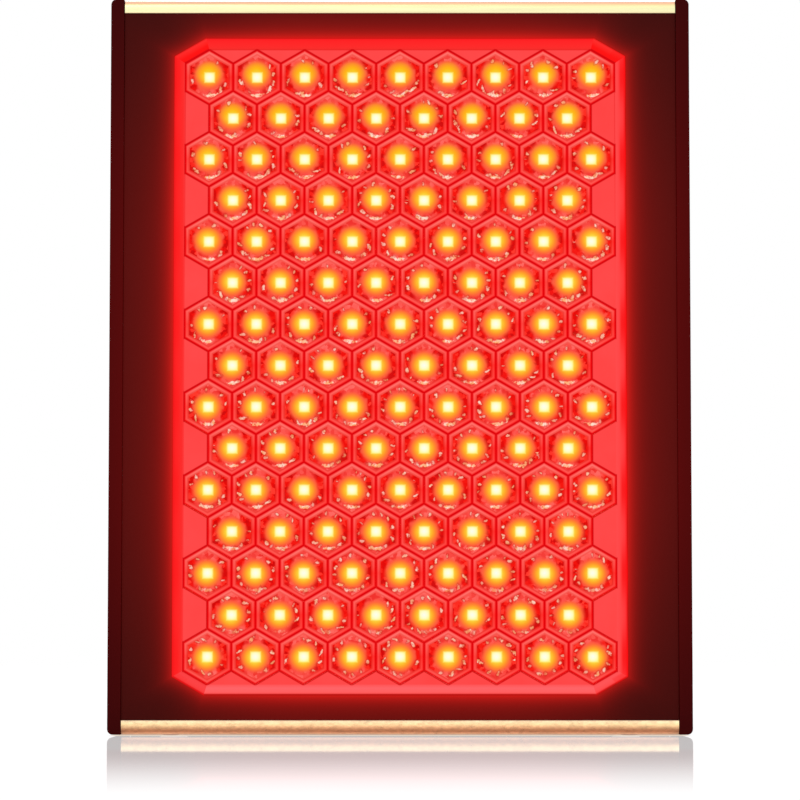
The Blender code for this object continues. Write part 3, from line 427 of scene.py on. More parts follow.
world = bpy.data.worlds.new("studio")
bpy.context.scene.world = world
open_tree(world).clear()
ray = node('ShaderNodeLightPath')
clear_rays = math_node('ADD', ray['Is Camera Ray'] + ray['Is Glossy Ray'], ray['Is Transmission Ray'],
                       clamp=True)
strength = node('ShaderNodeMapRange', {0: clear_rays, 3: WORLD_LIGHT, 4: 1.0})[0]
node('ShaderNodeOutputWorld', {0: node('ShaderNodeBackground', {0: WHITE, 1: strength})[0]})
print("world light:", WORLD_LIGHT)

# %% [markdown]
# Three square area lamps stand round the panel, as soft boxes do in a studio. Small lamps would
# give hard spots on the metal at the back, so each is over a metre wide.

# %% Lamps
LAMP_SIZE = 1.2
LAMPS = {"key": ((-0.9, -1.3, 1.5), 8), "fill": ((1.3, -1.0, 0.9), 4), "rear": ((0.3, 1.5, 1.3), 12)}

for name, (spot, watts) in LAMPS.items():
    lamp_data = bpy.data.lights.new(name, 'AREA')
    lamp_data.size = LAMP_SIZE
    lamp_data.energy = watts
    lamp = bpy.data.objects.new(name, lamp_data)
    lamp.location = spot
    toward = Vector((0, 0, MIDDLE_Z)) - Vector(spot)
    lamp.rotation_euler = toward.to_track_quat('-Z', 'Y').to_euler()
    bpy.context.scene.collection.objects.link(lamp)
print("lamps:", list(LAMPS))

# %% [markdown]
# ## The glow on the housing
#
# The lit window throws a red glow on the dark plate round it. Light bounced inside the render is
# noisy and too even, so the glow is worked out from the distance to the window's edge. That edge
# has eight sides: the distance is the largest of those past its sides, ends and slanted corners.

# %% Distance to the window
WINDOW_HALF_X = FIELD_HALF_X + BEVEL
WINDOW_HALF_Z = FIELD_HALF_Z + BEVEL
WINDOW_CUT = (FIELD_HALF_X + math.sqrt(3) * (FIELD_HALF_Z - CELL_RADIUS / 2)) / 2 + BEVEL


def slanted(side, rise):
    """How far a place lies along the line that climbs 60 degrees: half its side, 0.866 its rise."""
    return line(rise, math.sqrt(3) / 2, side * 0.5)


glow_group, entry = new_group("window_glow", {"Position": VECTOR}, {"Glow": COLOUR})
place = split(entry[0])
aside, rise = abs(place[0]), abs(place[2] - MIDDLE_Z)
past_side, past_end = aside - WINDOW_HALF_X, rise - WINDOW_HALF_Z
distance = largest(past_side, past_end, slanted(aside, rise) - WINDOW_CUT, 0.0)
print("window half sizes", round(WINDOW_HALF_X, 5), round(WINDOW_HALF_Z, 5), round(WINDOW_CUT, 5))

# %% [markdown]
# One part of the glow falls off within a few millimetres and a wider part within a few centimetres.
# A lit area throws less light past its corners than past the middle of its sides, so both weaken
# along the edge. Plate and rails share this group, so the glow runs on from one to the next.

# %% Glow
# Each part has a strength, a reach, and the share of it that is left at the corners.
GLOW_PARTS = ((0.48, 3 * MM, 0.6), (0.145, 25 * MM, 0.12))
GLOW_RED = (1.0, 0.012, 0.008)
SIDE_FALL = (45 * MM, 195 * MM)
END_FALL = (45 * MM, 130 * MM)
END_BLEND = (-8 * MM, 8 * MM)
GLOW_DEPTH = (plate_low.y + 4 * MM, plate_low.y + 1 * MM)

falls = {0: smooth(past_end - past_side, *END_BLEND), 2: 1.0 - smooth(rise, *SIDE_FALL),
         3: 1.0 - smooth(aside, *END_FALL)}
fall = node('ShaderNodeMix', falls, data_type='FLOAT')[0]
glow = 0.0
for strength, reach, left in GLOW_PARTS:
    spread = math_node('EXPONENT', distance / -reach)
    glow = line(spread, line(fall, strength * (1 - left), strength * left), glow)
deliver(scaled(GLOW_RED, glow * smooth(place[1], *GLOW_DEPTH)))
print("glow parts:", len(GLOW_PARTS))

# %% [markdown]
# ## Coated metal
#
# Housing, plate and covers are sheet metal with a fine satin coat. A flat colour looks like
# plastic, so a group gives a faint mottle in tone, a grain in roughness and a shallow bump. The
# same group serves the red front and the black back with grains of their own.

# %% Coat group
COAT_GRAIN = 2400.0
MOTTLE_SCALE = 18.0
MOTTLE_DEPTH = 0.12
SPECK_DEPTH = 0.24
COAT_ROUGHNESS = (0.2, 0.38)

coat_group, entry = new_group("coated_metal", {"Position": VECTOR, "Colour": COLOUR, "Grain": COAT_GRAIN},
                              {"Colour": COLOUR, "Roughness": VALUE, "Height": VALUE})
fine = noise(entry[0], entry[2], 3.0, roughness=0.6)[0]
wide = noise(entry[0], MOTTLE_SCALE, 4.0)[0]
tone = swing(wide, MOTTLE_DEPTH, 1.0) * swing(fine, SPECK_DEPTH, 1.0)
deliver(scaled(entry[1], tone), line(fine, *COAT_ROUGHNESS), fine)
print("coat nodes:", len(work.tree.nodes))

# %% [markdown]
# Where a coated piece borders the window, the glow is added as emitted light. The plate and the
# rails get it. The covers lie behind them and do without.

# %% Housing
COAT_BUMP = (0.12, 0.05 * MM)
RAIL_RED = screen(58, 8, 9)


def coated_material(name, colour, glows, grain=COAT_GRAIN, **values):
    """Satin coated metal; where it glows, the window's red is added as emitted light."""
    material, shader = new_material(name, **values)
    place = piece_place()
    coat = use_group(coat_group, Position=place, Colour=colour, Grain=grain)
    feed(shader, Base_Color=coat[0], Roughness=coat[1])
    roughen(shader, coat[2], *COAT_BUMP)
    if glows:
        feed(shader, Emission_Color=use_group(glow_group, Position=place)[0], Emission_Strength=1.0)
    return material


plate_material = coated_material("maroon_plate", screen(62, 17, 15), True, Specular_IOR_Level=0.02)
rail_material = coated_material("maroon_rail", RAIL_RED, True, Specular_IOR_Level=0.02)
cover_material = coated_material("maroon_cover", RAIL_RED, False, Specular_IOR_Level=0.25)
for name, material in (("front_plate", plate_material), ("rail_left", rail_material),
                       ("rail_right", rail_material), ("top_cover", cover_material),
                       ("bottom_cover", cover_material)):
    dress(name, material)
    print(name, "has", material.name)

# %% [markdown]
# ## Surfaces from arrays
#
# Many pieces below are rings of points joined into a skin. Joining them one face at a time is slow
# to run and long to read, so one function turns a whole array of rings into a mesh, and another
# gives each face corner its own coordinates for the materials.

# %% Mesh helpers
def new_piece(mesh, material, body, degrees):
    """An object for a mesh, riding on one body of the frame, smooth up to edges over an angle."""
    mesh.materials.clear()
    mesh.materials.append(material)
    piece = bpy.data.objects.new(mesh.name, mesh)
    bpy.context.scene.collection.objects.link(piece)
    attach(piece, body)
    mesh.shade_smooth()
    mesh.set_sharp_from_angle(angle=math.radians(degrees))
    return piece


def mesh_piece(name, points, faces, material, body="panel", degrees=35):
    """A piece from an array of points and lists of faces."""
    mesh = bpy.data.meshes.new(name)
    mesh.from_pydata(np.asarray(points, dtype=float).reshape(-1, 3).tolist(), [],
                     [list(map(int, face)) for face in faces])
    mesh.update()
    return new_piece(mesh, material, body, degrees)


def ring_faces(rings, points, first=0):
    """Quads between closed rings of equal length, each ring's points numbered after the one before."""
    here = np.arange(points)
    there = (here + 1) % points
    rows = (np.arange(rings - 1) * points)[:, None]
    quads = np.stack([rows + here, rows + there, rows + points + there, rows + points + here], axis=-1)
    return quads.reshape(-1, 4) + first


def corner_map(piece, name, values):
    """A UV map from two numbers per point, copied to every face corner."""
    mesh = piece.data
    layer = mesh.uv_layers.new(name=name)
    corner_points = np.empty(len(mesh.loops), dtype=np.int32)
    mesh.loops.foreach_get("vertex_index", corner_points)
    layer.data.foreach_set("uv", np.asarray(values, dtype=np.float32)[corner_points].ravel())


def point_value(piece, name, values):
    """A number stored on every point."""
    attribute = piece.data.attributes.new(name, 'FLOAT', 'POINT')
    attribute.data.foreach_set("value", np.asarray(values, dtype=np.float32))


print("faces between two rings of six points:", len(ring_faces(2, 6)))

# %% [markdown]
# ## Where the lenses sit
#
# The field is a honeycomb: rows of nine and eight lenses, each row moved half a pitch from the one
# above. The centres could be read from the solids, but a rule is shorter, and every material can
# use it too.

# %% Lens places
def cell_centres(row):
    """Centres of the lenses of one row in X and Z, left to right. Row 0 is the top one."""
    count = LONG_ROW - row % 2
    x = (np.arange(count) - (count - 1) / 2) * PITCH
    z = np.full(count, MIDDLE_Z + ROW_PITCH * ((ROWS - 1) / 2 - row))
    return np.stack([x, z], axis=1)


all_cells = np.concatenate([cell_centres(row) for row in range(ROWS)])
print("lenses:", len(all_cells))

# %% [markdown]
# ## What one lens looks like
#
# Behind each moulded lens sits a lamp chip: a pale yellow square, an amber halo round it and a ring
# of moulded facets that break the light into deep red shards and pale glints. Modelling every
# facet would take millions of faces and long renders. Node groups draw them from two maps instead:
# one holds the offset from the lens's own centre, the other the offset from its halo, which leans
# a little upwards near the top of the field. Both count in millimetres, so sizes read as they are.

# %% Lens measures
UPWARD = (-2.0, 7.5)


def cell_measures(cell):
    """Wires of one lens: offsets, distance, angle and the distance that follows its six sides."""
    place = split(cell)
    x, z = place[0], place[1]
    side = abs(x)
    return SimpleNamespace(x=x, z=z, side=side, reach=length(cell), turn=math_node('ARCTAN2', z, x),
                           hexagon=largest(side, slanted(side, abs(z))))


def oval(first, second):
    """Sum of two squares: 1 on the edge of an ellipse whose axes divide the two offsets."""
    return math_node('POWER', first, 2.0) + math_node('POWER', second, 2.0)


def own_part(cell, seed, spread):
    """A lens's own part of a pattern: its offset, moved by its random number times a spread."""
    return vector_node('ADD', cell, flat_vector(seed * spread[0], seed * spread[1]))[0]


print("upper part of a lens from", UPWARD[0], "to", UPWARD[1], "mm")

# %% [markdown]
# The body of a lens is salmon above and below and deep red at its sides, where the facets show as
# shards. A smooth Voronoi pattern, bent by a little noise, gives each lens its own shards. A broader
# noise moves the borders between the parts, so that no two lenses share them.

# %% Lens body
BODY_SPREAD = (97.0, 61.0)
WARP_SCALE = 0.7
WARP_REACH = (1.6, 1.6, 0)
SHARD_SCALE = 0.62
SHARD_SOFTNESS = 0.25
BORDER_SCALE = 0.24
BORDER_DEPTH = 7.0
BORDER_SHARE = 0.6
CROWN_SIDE = (6.4, 2.6)
INNER_EDGE = (5.2, 7.4)

body_group, entry = new_group("lens_body", {"Cell": VECTOR, "Halo": VECTOR, "Seed": 0.0},
                              {"Light": COLOUR, "Shards": VALUE, "Grain": VALUE})
lens = cell_measures(entry[0])
own = own_part(entry[0], entry[2], BODY_SPREAD)
warp = noise(own, WARP_SCALE, 2.0, '2D')
bent = vector_node('MULTIPLY_ADD', warp[1], WARP_REACH, own)[0]
shards = node('ShaderNodeTexVoronoi', {'Vector': bent, 'Scale': SHARD_SCALE, 'Smoothness': SHARD_SOFTNESS},
              voronoi_dimensions='2D', feature='SMOOTH_F1')
shard_tone = node('ShaderNodeSeparateColor', {0: shards['Color']})[0]
deep = ramp(shard_tone, (0.12, 208, 5, 3), (0.38, 235, 10, 4), (0.66, 245, 22, 10), (0.94, 253, 56, 42))
salmon = ramp(shard_tone, (0.1, 238, 50, 44), (0.6, 249, 78, 70), (0.95, 255, 106, 98))
loose = swing(noise(own, BORDER_SCALE, 1.0, '2D')[0], BORDER_DEPTH)
ring = mix(smooth(lens.side + loose, *CROWN_SIDE), deep, salmon)
inner = mix(smooth(lens.z, *UPWARD), screen(249, 90, 64), screen(252, 92, 72))
body = mix(smooth(lens.reach + loose * BORDER_SHARE, *INNER_EDGE), inner, ring)
print("lens body nodes:", len(work.tree.nodes))

# %% [markdown]
# The halo runs from yellow through amber and orange into the body. High in the field it leans away
# from the chip, and there its upper part is a deeper amber, which a second ramp gives.

# %% Halo
# The length in millimetres over which a halo ramp runs from 0 to 1.
HALO_UNIT = 9.0
HALO_LEAN = (0.3, 1.1)
HALO_TOP = (-1.5, 3.0)
HALO_EDGE = (8.0, 5.2)

halo_reach = length(entry[1])
halo_share = halo_reach / HALO_UNIT
plain_halo = ramp(halo_share, (0.22, 252, 222, 72), (0.33, 250, 196, 52), (0.444, 253, 168, 40),
                  (0.556, 254, 134, 46), (0.667, 253, 106, 54), (0.8, 250, 84, 58))
amber_halo = ramp(halo_share, (0.215, 246, 199, 34), (0.327, 252, 184, 18), (0.438, 252, 168, 25),
                  (0.549, 249, 148, 39), (0.66, 250, 121, 51), (0.77, 248, 98, 62))
lifted = smooth(lens.z - split(entry[1])[1], *HALO_LEAN) * smooth(lens.z, *HALO_TOP)
halo_colour = mix(lifted, plain_halo, amber_halo)
deliver(mix(smooth(halo_reach, *HALO_EDGE), body, halo_colour), shard_tone, warp[0])
print("lens body and halo nodes:", len(work.tree.nodes))

# %% [markdown]
# Glints sit on a ring near the rim. Points scattered in the plane would fall anywhere, so a Voronoi
# pattern runs along the ring instead: its cells are twelve places, and each is moved and turned by
# its own random numbers. The offsets count in millimetres, along the ring and across it.

# %% Glint places
GLINT_RADIUS = 8.15
GLINT_PLACES = 12
GLINT_STEP = math.tau * GLINT_RADIUS / GLINT_PLACES
GLINT_SCATTER = 0.55
GLINT_INSET = -0.45
GLINT_LEAN = 1.5
SEED_STEPS = 4001.0

glint_group, entry = new_group("lens_glints", {"Cell": VECTOR, "Seed": 0.0, "Level": 0.0, "Grain": 0.5},
                               {"Mask": VALUE, "Shade": VALUE})
cell, seed, level, grain = entry[:4]
lens = cell_measures(cell)
own_row = math_node('FLOOR', seed * SEED_STEPS)
along = line(lens.turn, GLINT_PLACES / math.tau, own_row * float(GLINT_PLACES))
dots = node('ShaderNodeTexVoronoi', {'Vector': flat_vector(along, 0.5), 'Scale': 1.0,
                                     'Randomness': GLINT_SCATTER}, voronoi_dimensions='2D', feature='F1')
chance = node('ShaderNodeSeparateColor', {0: dots['Color']})
run = (along - split(dots['Position'])[0]) * GLINT_STEP
across = (lens.reach - GLINT_RADIUS) + (chance[2] + GLINT_INSET)
across = line(run, swing(chance[1], GLINT_LEAN), across)
print("glint places:", GLINT_PLACES, "step", round(GLINT_STEP, 2), "mm")

# %% [markdown]
# Each glint is an oval with a frayed edge. Low in a lens, and in the lenses low in the field, the
# glints are longer, and high in a lens fewer of them are kept. A thin dark border goes round each,
# where the facet beside it looks away from the chip. Pairs of slope and base set most of this.

# %% Glint shapes
LONG_HALF = (0.8, 0.4)
SHORT_HALF = (0.3, 0.42)
LONGER_BY_LEVEL = (0.25, 1.0)
LONGER_BELOW = (0.55, 0.6)
LOW_IN_LENS = (1.0, -5.5)
LOW_IN_FIELD = (-0.4, -0.9)
FRAY_SPREAD = (53.0, 89.0)
FRAY_SCALE = 0.85
FRAY_DEPTH = 5.6
GLINT_EDGE = (2.4, 0.0)
BORDER_EDGE = (6.5, 2.8)
BROKEN_GRAIN = (0.14, 0.44)
RARER_ABOVE = (0.13, 0.21)
RARER_BY_LEVEL = (0.12, 0.35)
GLINT_STRENGTH = (0.5, 0.38)

low_down = largest(smooth(lens.z, *LOW_IN_LENS), smooth(level, *LOW_IN_FIELD))
long_half = line(chance[0], *LONG_HALF) * line(level, *LONGER_BY_LEVEL) * line(low_down, *LONGER_BELOW)
fray = noise(own_part(cell, seed, FRAY_SPREAD), FRAY_SCALE, 1.0, '2D')[0]
glint = oval(run / long_half, across / line(chance[1], *SHORT_HALF)) + swing(fray, FRAY_DEPTH)
rarer = line(level, *RARER_ABOVE)
kept = chance[2] > line(smooth(lens.z, *UPWARD), rarer, line(level, *RARER_BY_LEVEL))
dot = smooth(glint, *GLINT_EDGE) * smooth(grain, *BROKEN_GRAIN) * kept * line(chance[0], *GLINT_STRENGTH)
border = smooth(glint, *BORDER_EDGE) * kept
print("glint nodes:", len(work.tree.nodes))

# %% [markdown]
# A broad crescent lies at the foot of each lens, turned a little to one side by the lens's random
# number. It fades in the lowest rows, which have only round glints.

# %% Crescent
FOOT_SWAY = 0.3
FOOT_HALF = (2.5, 0.74)
FOOT_REACH = (0.4, 8.1)
FOOT_FRAY = 3.0
FOOT_EDGE = (3.2, 1.8)
FOOT_GRAIN = (0.2, 0.5)
FOOT_LEVEL = (-0.95, -0.4)

wander = node('ShaderNodeTexWhiteNoise', {1: seed}, noise_dimensions='1D')[0]
foot_run = (lens.turn + math.pi / 2 + swing(wander, FOOT_SWAY)) * GLINT_RADIUS / FOOT_HALF[0]
foot_rise = (lens.reach - line(level, *FOOT_REACH)) / FOOT_HALF[1]
crescent = smooth(line(fray, FOOT_FRAY, oval(foot_run, foot_rise)), *FOOT_EDGE)
crescent = crescent * smooth(grain, *FOOT_GRAIN) * smooth(level, *FOOT_LEVEL)
deliver(largest(dot, crescent), border)
print("glint and crescent nodes:", len(work.tree.nodes))

# %% [markdown]
# The rim follows the tile's six sides and ends in the groove between two tiles. Its polish catches
# the light from above, so the rim is mixed from a dim and a bright ramp by its direction.

# %% Rim and groove
# The length in millimetres over which a rim ramp runs from 0 to 1.
RIM_UNIT = 11.0
RIM_INNER = (8.7, 9.0)
# Light of the rim: a base, and shares of the size of its sine, of the sine and of the cosine.
RIM_BASE, RIM_BOTH_ENDS, RIM_TOP, RIM_RIGHT = 0.087, 0.567, 0.245, -0.087

rim_group, entry = new_group("lens_rim", {"Cell": VECTOR}, {"Light": COLOUR, "Mask": VALUE})
lens = cell_measures(entry[0])
sine = math_node('SINE', lens.turn)
facing = line(sine, RIM_TOP, line(abs(sine), RIM_BOTH_ENDS, RIM_BASE))
facing = line(math_node('COSINE', lens.turn), RIM_RIGHT, facing)
outward = lens.hexagon / RIM_UNIT
dim_rim = ramp(outward, (0.818, 232, 24, 15), (0.85, 240, 36, 28), (0.889, 252, 52, 45),
               (0.918, 252, 45, 40), (0.945, 247, 28, 26), (0.966, 236, 12, 14),
               (0.984, 226, 4, 8), (1.0, 222, 2, 6))
bright_rim = ramp(outward, (0.818, 243, 90, 80), (0.855, 249, 100, 91), (0.889, 255, 124, 115),
                  (0.918, 254, 108, 101), (0.945, 246, 70, 68), (0.964, 230, 32, 34),
                  (0.981, 210, 8, 14), (1.0, 203, 2, 10))
deliver(mix(facing, dim_rim, bright_rim), smooth(lens.hexagon, *RIM_INNER))
print("rim nodes:", len(work.tree.nodes))

# %% [markdown]
# ## The lit lens
#
# The parts lie over each other as they do in the real lens: the body with its halo, the glints with
# their borders, the rim, and the chip's pale square in the middle. They could be one long tree, but
# as groups each part can be changed without touching the others.

# %% Lit lens
CHIP_SHIFT = 0.12
CHIP_EDGE = (2.85, 1.75)
# The length in millimetres over which the chip's ramp runs from 0 to 1.
CHIP_UNIT = 3.4
BORDER_STRENGTH = 0.34

lens_group, entry = new_group("lit_lens", {"Cell": VECTOR, "Halo": VECTOR, "Seed": 0.0, "Level": 0.0},
                              {"Light": COLOUR, "Facets": VALUE})
cell, halo, seed, level = entry[:4]
lens = cell_measures(cell)
body = use_group(body_group, Cell=cell, Halo=halo, Seed=seed)
glints = use_group(glint_group, Cell=cell, Seed=seed, Level=level, Grain=body[2])
rim = use_group(rim_group, Cell=cell)
glint_colour = ramp(body[1], (0.1, 255, 178, 122), (0.5, 255, 202, 170), (0.9, 255, 224, 204))
look = mix(glints[1] * BORDER_STRENGTH, body[0], screen(176, 34, 18))
look = mix(rim[1], mix(glints[0], look, glint_colour), rim[0])
chip = smooth(largest(abs(lens.x - CHIP_SHIFT), abs(lens.z + CHIP_SHIFT)), *CHIP_EDGE)
chip_colour = ramp(lens.reach / CHIP_UNIT, (0.05, 250, 254, 234), (0.4, 253, 254, 206),
                   (0.85, 255, 246, 130))
deliver(mix(chip, look, chip_colour), body[1])
print("lit lens nodes:", len(work.tree.nodes))

# %% [markdown]
# Lenses and tray are one red plastic, and what shows is the light that leaves it. So the drawn
# colours go to the shader's emission, over a dark red base with hardly any shine.

# %% Lens material
LENS_BUMP = (0.3, 0.2 * MM)
LENS_RED = screen(48, 0, 3)
LENS_SHINE = 0.03


def lit_material(name, roughness):
    """Dark red plastic that shines with whatever is joined to its emission."""
    return new_material(name, Roughness=roughness, Specular_IOR_Level=LENS_SHINE, Base_Color=LENS_RED,
                        Emission_Strength=1.0)


lens_material, shader = lit_material("lens_red", 0.3)
look = use_group(lens_group, Cell=node('ShaderNodeUVMap', uv_map="cell")[0],
                 Halo=node('ShaderNodeUVMap', uv_map="halo")[0],
                 Seed=node('ShaderNodeAttribute', attribute_name="seed")['Fac'],
                 Level=node('ShaderNodeAttribute', attribute_name="level")['Fac'])
feed(shader, Emission_Color=look[0])
roughen(shader, look[1], *LENS_BUMP)
print("lens material:", lens_material.name)

# %% [markdown]
# ## One lens tile
#
# Each tile of the moulded field is a six-sided block with a rim, a round moat and a low dome. It
# could be cut with booleans, but rings of points give it directly. A ring is either a hexagon,
# whose distance follows its six sides, or a circle, and twelve points serve both.

# %% Lens tile
RING_POINTS = 12
turns = np.arange(RING_POINTS) * math.tau / RING_POINTS
toward_side = np.mod(turns + math.pi / 6, math.pi / 3) - math.pi / 6
to_corner = 1 / np.cos(toward_side)
LENS_BACK = (bank_high.y - LENS_Y) / MM
FRONT_POLE = 0.15
# Kind, size and depth behind the lens plane of each ring, in millimetres.
TILE_RINGS = [("hexagon", 10.97, LENS_BACK), ("hexagon", 10.97, 0.7), ("hexagon", 10.55, 0.03),
              ("hexagon", 8.95, 0.03), ("circle", 8.6, 0.9), ("circle", 7.4, 1.2), ("circle", 5.2, 0.42)]


def tile_points():
    """Points of one tile about its centre: the poles first and last, and the rings between."""
    rings = []
    for kind, size, depth in TILE_RINGS:
        radius = size * to_corner if kind == "hexagon" else np.full(RING_POINTS, size)
        rings.append(np.stack([radius * np.cos(turns), np.full(RING_POINTS, depth),
                               radius * np.sin(turns)], axis=1))
    return np.concatenate([[(0, LENS_BACK, 0)], *rings, [(0, FRONT_POLE, 0)]]) * MM


def tile_faces():
    """Triangles round each pole and quads between the rings, all facing outwards."""
    here = np.arange(RING_POINTS)
    there = (here + 1) % RING_POINTS
    last = 1 + RING_POINTS * (len(TILE_RINGS) - 1)
    back = np.stack([np.zeros_like(here), 1 + there, 1 + here], axis=1)
    front = np.stack([last + here, last + there, np.full_like(here, last + RING_POINTS)], axis=1)
    return back, ring_faces(len(TILE_RINGS), RING_POINTS, first=1), front


print("points in a tile:", len(tile_points()), "faces:", sum(len(block) for block in tile_faces()))

# %% [markdown]
# ## The lens banks
#
# The tiles are moulded as banks of two rows. One tile's rings are copied to all of its places as a
# whole array, which is quicker than an object for each lens. The maps for the material are worked
# out at the same time: the offset from the tile's centre, and the same offset from its halo.

# %% Lens banks
ROWS_PER_BANK = 2
HALO_SPREAD = 0.004
HALO_RISE_ABOVE = 0.009
HALO_RISE_BELOW = 0.003
seeds = np.random.default_rng(7).random(len(all_cells))


def lens_bank(number, rows):
    """Tiles of some rows as one piece, with the maps and the seed that its material reads."""
    centres = np.concatenate([cell_centres(row) for row in rows])
    tile = tile_points()
    shift = np.stack([centres[:, 0], np.full(len(centres), LENS_Y), centres[:, 1]], axis=1)
    first_points = (np.arange(len(centres)) * len(tile))[:, None, None]
    faces = []
    for block in tile_faces():
        faces.extend((block + first_points).reshape(-1, block.shape[1]).tolist())
    piece = mesh_piece(f"lenses_{number}", (shift[:, None] + tile).reshape(-1, 3), faces, lens_material)
    flat = np.tile(tile[:, [0, 2]], (len(centres), 1)) / MM
    away = centres - (0, MIDDLE_Z)
    halo_rise = np.where(away[:, 1] > 0, HALO_RISE_ABOVE, HALO_RISE_BELOW)
    drift = np.stack([away[:, 0] * HALO_SPREAD, away[:, 1] * halo_rise], axis=1)
    corner_map(piece, "cell", flat)
    corner_map(piece, "halo", flat - np.repeat(drift, len(tile), axis=0) / MM)
    index = [int(np.argmin(((all_cells - centre) ** 2).sum(axis=1))) for centre in centres]
    point_value(piece, "seed", np.repeat(seeds[index], len(tile)))
    point_value(piece, "level", np.repeat(away[:, 1] / FIELD_HALF_Z, len(tile)))
    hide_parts(f"lens_bank_{number}")
    return piece


banks = [lens_bank(number, range(first, min(first + ROWS_PER_BANK, ROWS)))
         for number, first in enumerate(range(0, ROWS, ROWS_PER_BANK), start=1)]
print("lens banks:", len(banks), "faces in the first:", len(banks[0].data.polygons))

# %% [markdown]
# ## The lens tray
#
# A moulded frame holds the lenses: flat between the outer tiles, with a bevel that rises to the
# plate. It is lit from inside and from the lenses, so its four sides differ: the top one is the
# deepest red and the bottom one almost pink. The colour is worked out from the place on the tray,
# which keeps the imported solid's own sharp corners. First come the tones up the bevel.

# %% Tray bevel
tray_group, entry = new_group("lit_tray", {"Position": VECTOR}, {"Light": COLOUR})
place = split(entry[0])
x, z = place[0], place[2] - MIDDLE_Z
past_side, past_end = abs(x) - FIELD_HALF_X, abs(z) - FIELD_HALF_Z
past_corner = slanted(abs(x), abs(z)) - (WINDOW_CUT - BEVEL)
on_right, on_top = x > 0.0, z > 0.0
rise = largest(past_side, past_end, past_corner) / BEVEL

top_bevel = ramp(rise, (0.02, 243, 46, 42), (0.3, 251, 42, 41), (0.7, 255, 36, 37),
                 (0.9, 248, 30, 32), (0.98, 204, 22, 20))
bottom_bevel = ramp(rise, (0.02, 254, 84, 85), (0.35, 254, 100, 103), (0.7, 253, 96, 96),
                    (0.85, 250, 84, 82), (0.92, 196, 26, 22), (1.0, 182, 20, 17))
left_bevel = ramp(rise, (0.02, 251, 56, 56), (0.2, 249, 43, 41), (0.7, 255, 34, 34), (0.97, 240, 27, 28))
right_bevel = ramp(rise, (0.02, 254, 75, 75), (0.4, 255, 69, 69), (0.75, 255, 56, 58),
                   (0.9, 244, 36, 38), (0.98, 212, 18, 14))
top_corner = ramp(rise, (0.05, 250, 16, 14), (0.4, 253, 20, 18), (0.65, 255, 36, 33),
                  (0.88, 252, 44, 42), (1.0, 222, 28, 26))
print("bevel nodes:", len(work.tree.nodes))

# %% [markdown]
# Then the sides are put together. A slanted corner is halfway between its two neighbours, deeper
# below on the left than on the right, and has tones of its own above. Along the sides the bevel is
# lit a little more beside the outer lenses than between them, which a cosine with the rows' spacing
# gives. In the upper half the fold between flat part and bevel gets a thin line of painted shade.

# %% Tray light
CORNER_DEPTH = (-0.2, 0.25)
MOTTLE_PLACES = 60.0
FOLD = (-0.04, 0.04)
BEAT = (-0.5, 0.5)
DIM_START = (0.25, 0.6)
DIM_BY_SIDE = (0.5, 0.3)
FOLD_SHADE_RISE = (-0.1, 0.0)
FOLD_SHADE_FALL = (0.1, 0.0)
FOLD_SHADE_STRENGTH = 0.5

sides, ends = mix(on_right, left_bevel, right_bevel), mix(on_top, bottom_bevel, top_bevel)
is_end = past_end > past_side
low_corner = mix(line(on_right, *CORNER_DEPTH), mix(0.5, sides, ends), screen(235, 0, 8))
bevel = mix(past_corner > largest(past_side, past_end), mix(is_end, sides, ends),
            mix(on_top, low_corner, top_corner))
beat = line(math_node('COSINE', z * (math.tau / (2 * ROW_PITCH))), *BEAT) * (1.0 - is_end)
mottle = noise(entry[0], MOTTLE_PLACES, 3.0)[0]
light = mix(smooth(rise, *FOLD), mix(mottle, screen(254, 64, 62), screen(255, 78, 78)), bevel)
# Painted shade: a thin deep line in the fold, in the upper half only.
painted_fold_shade = smooth(rise, *FOLD_SHADE_RISE) * smooth(rise, *FOLD_SHADE_FALL) * smooth(z, 0.0, FIELD_HALF_Z)
light = mix(painted_fold_shade * FOLD_SHADE_STRENGTH, light, screen(222, 8, 12))
dim = beat * smooth(rise, *DIM_START) * line(on_right, *DIM_BY_SIDE)
light = mix(dim, light, screen(248, 10, 12))
print("tray nodes:", len(work.tree.nodes))

# %% [markdown]
# A dark groove follows the outer tiles. It could be a curve drawn round them, but the tray can
# measure its place in the same honeycomb: that is two square lattices, one moved by half a cell, and
# the nearer of their two points is the centre of the tile that the place would be in.

# %% Tray groove
GROOVE = (10.2, 10.75)
GROOVE_END = (0.5 * MM, 0.2 * MM)
HALF_CELL = (PITCH / 2 / MM, ROW_PITCH / MM, 1.0)


def wrapped(place, shift):
    """Offset from the nearest point of a lattice of cells with one point at the shift."""
    moved = vector_node('SUBTRACT', place, shift)[0]
    return vector_node('WRAP', moved, HALF_CELL, tuple(-value for value in HALF_CELL))[0]


flat_place = flat_vector(x / MM, z / MM)
near = [wrapped(flat_place, (HALF_CELL[0], 0, 0)), wrapped(flat_place, (0, HALF_CELL[1], 0))]
cell = mix(length(near[1]) > length(near[0]), near[1], near[0])
groove = smooth(cell_measures(cell).hexagon, *GROOVE) * smooth(largest(past_side, past_end), *GROOVE_END)
deliver(mix(groove, light, screen(208, 4, 10)))

tray_material, shader = lit_material("tray_red", 0.35)
feed(shader, Emission_Color=use_group(tray_group, Position=piece_place())[0])
dress("lens_tray", tray_material)
print("half a cell:", [round(value, 2) for value in HALF_CELL[:2]], "mm")

# %% [markdown]
# ## Brushed metal
#
# Brushed metal has fine lines along one way. A picture of lines would stretch on a long bar, so a
# noise is squeezed instead: its places are multiplied by a small number along the lines. The bars,
# the wires and the sheet metal behind the panel all use it.

# %% Brush lines
BRUSH_ROUGHNESS = (0.22, 0.2)

brushed_group, entry = new_group("brush_lines", {"Position": VECTOR, "Along": VECTOR, "Scale": 900.0},
                                 {"Lines": VALUE, "Roughness": VALUE})
lines = noise(vector_node('MULTIPLY', entry[0], entry[1])[0], entry[2], 4.0)[0]
deliver(lines, line(lines, *BRUSH_ROUGHNESS))
print("brush nodes:", len(work.tree.nodes))
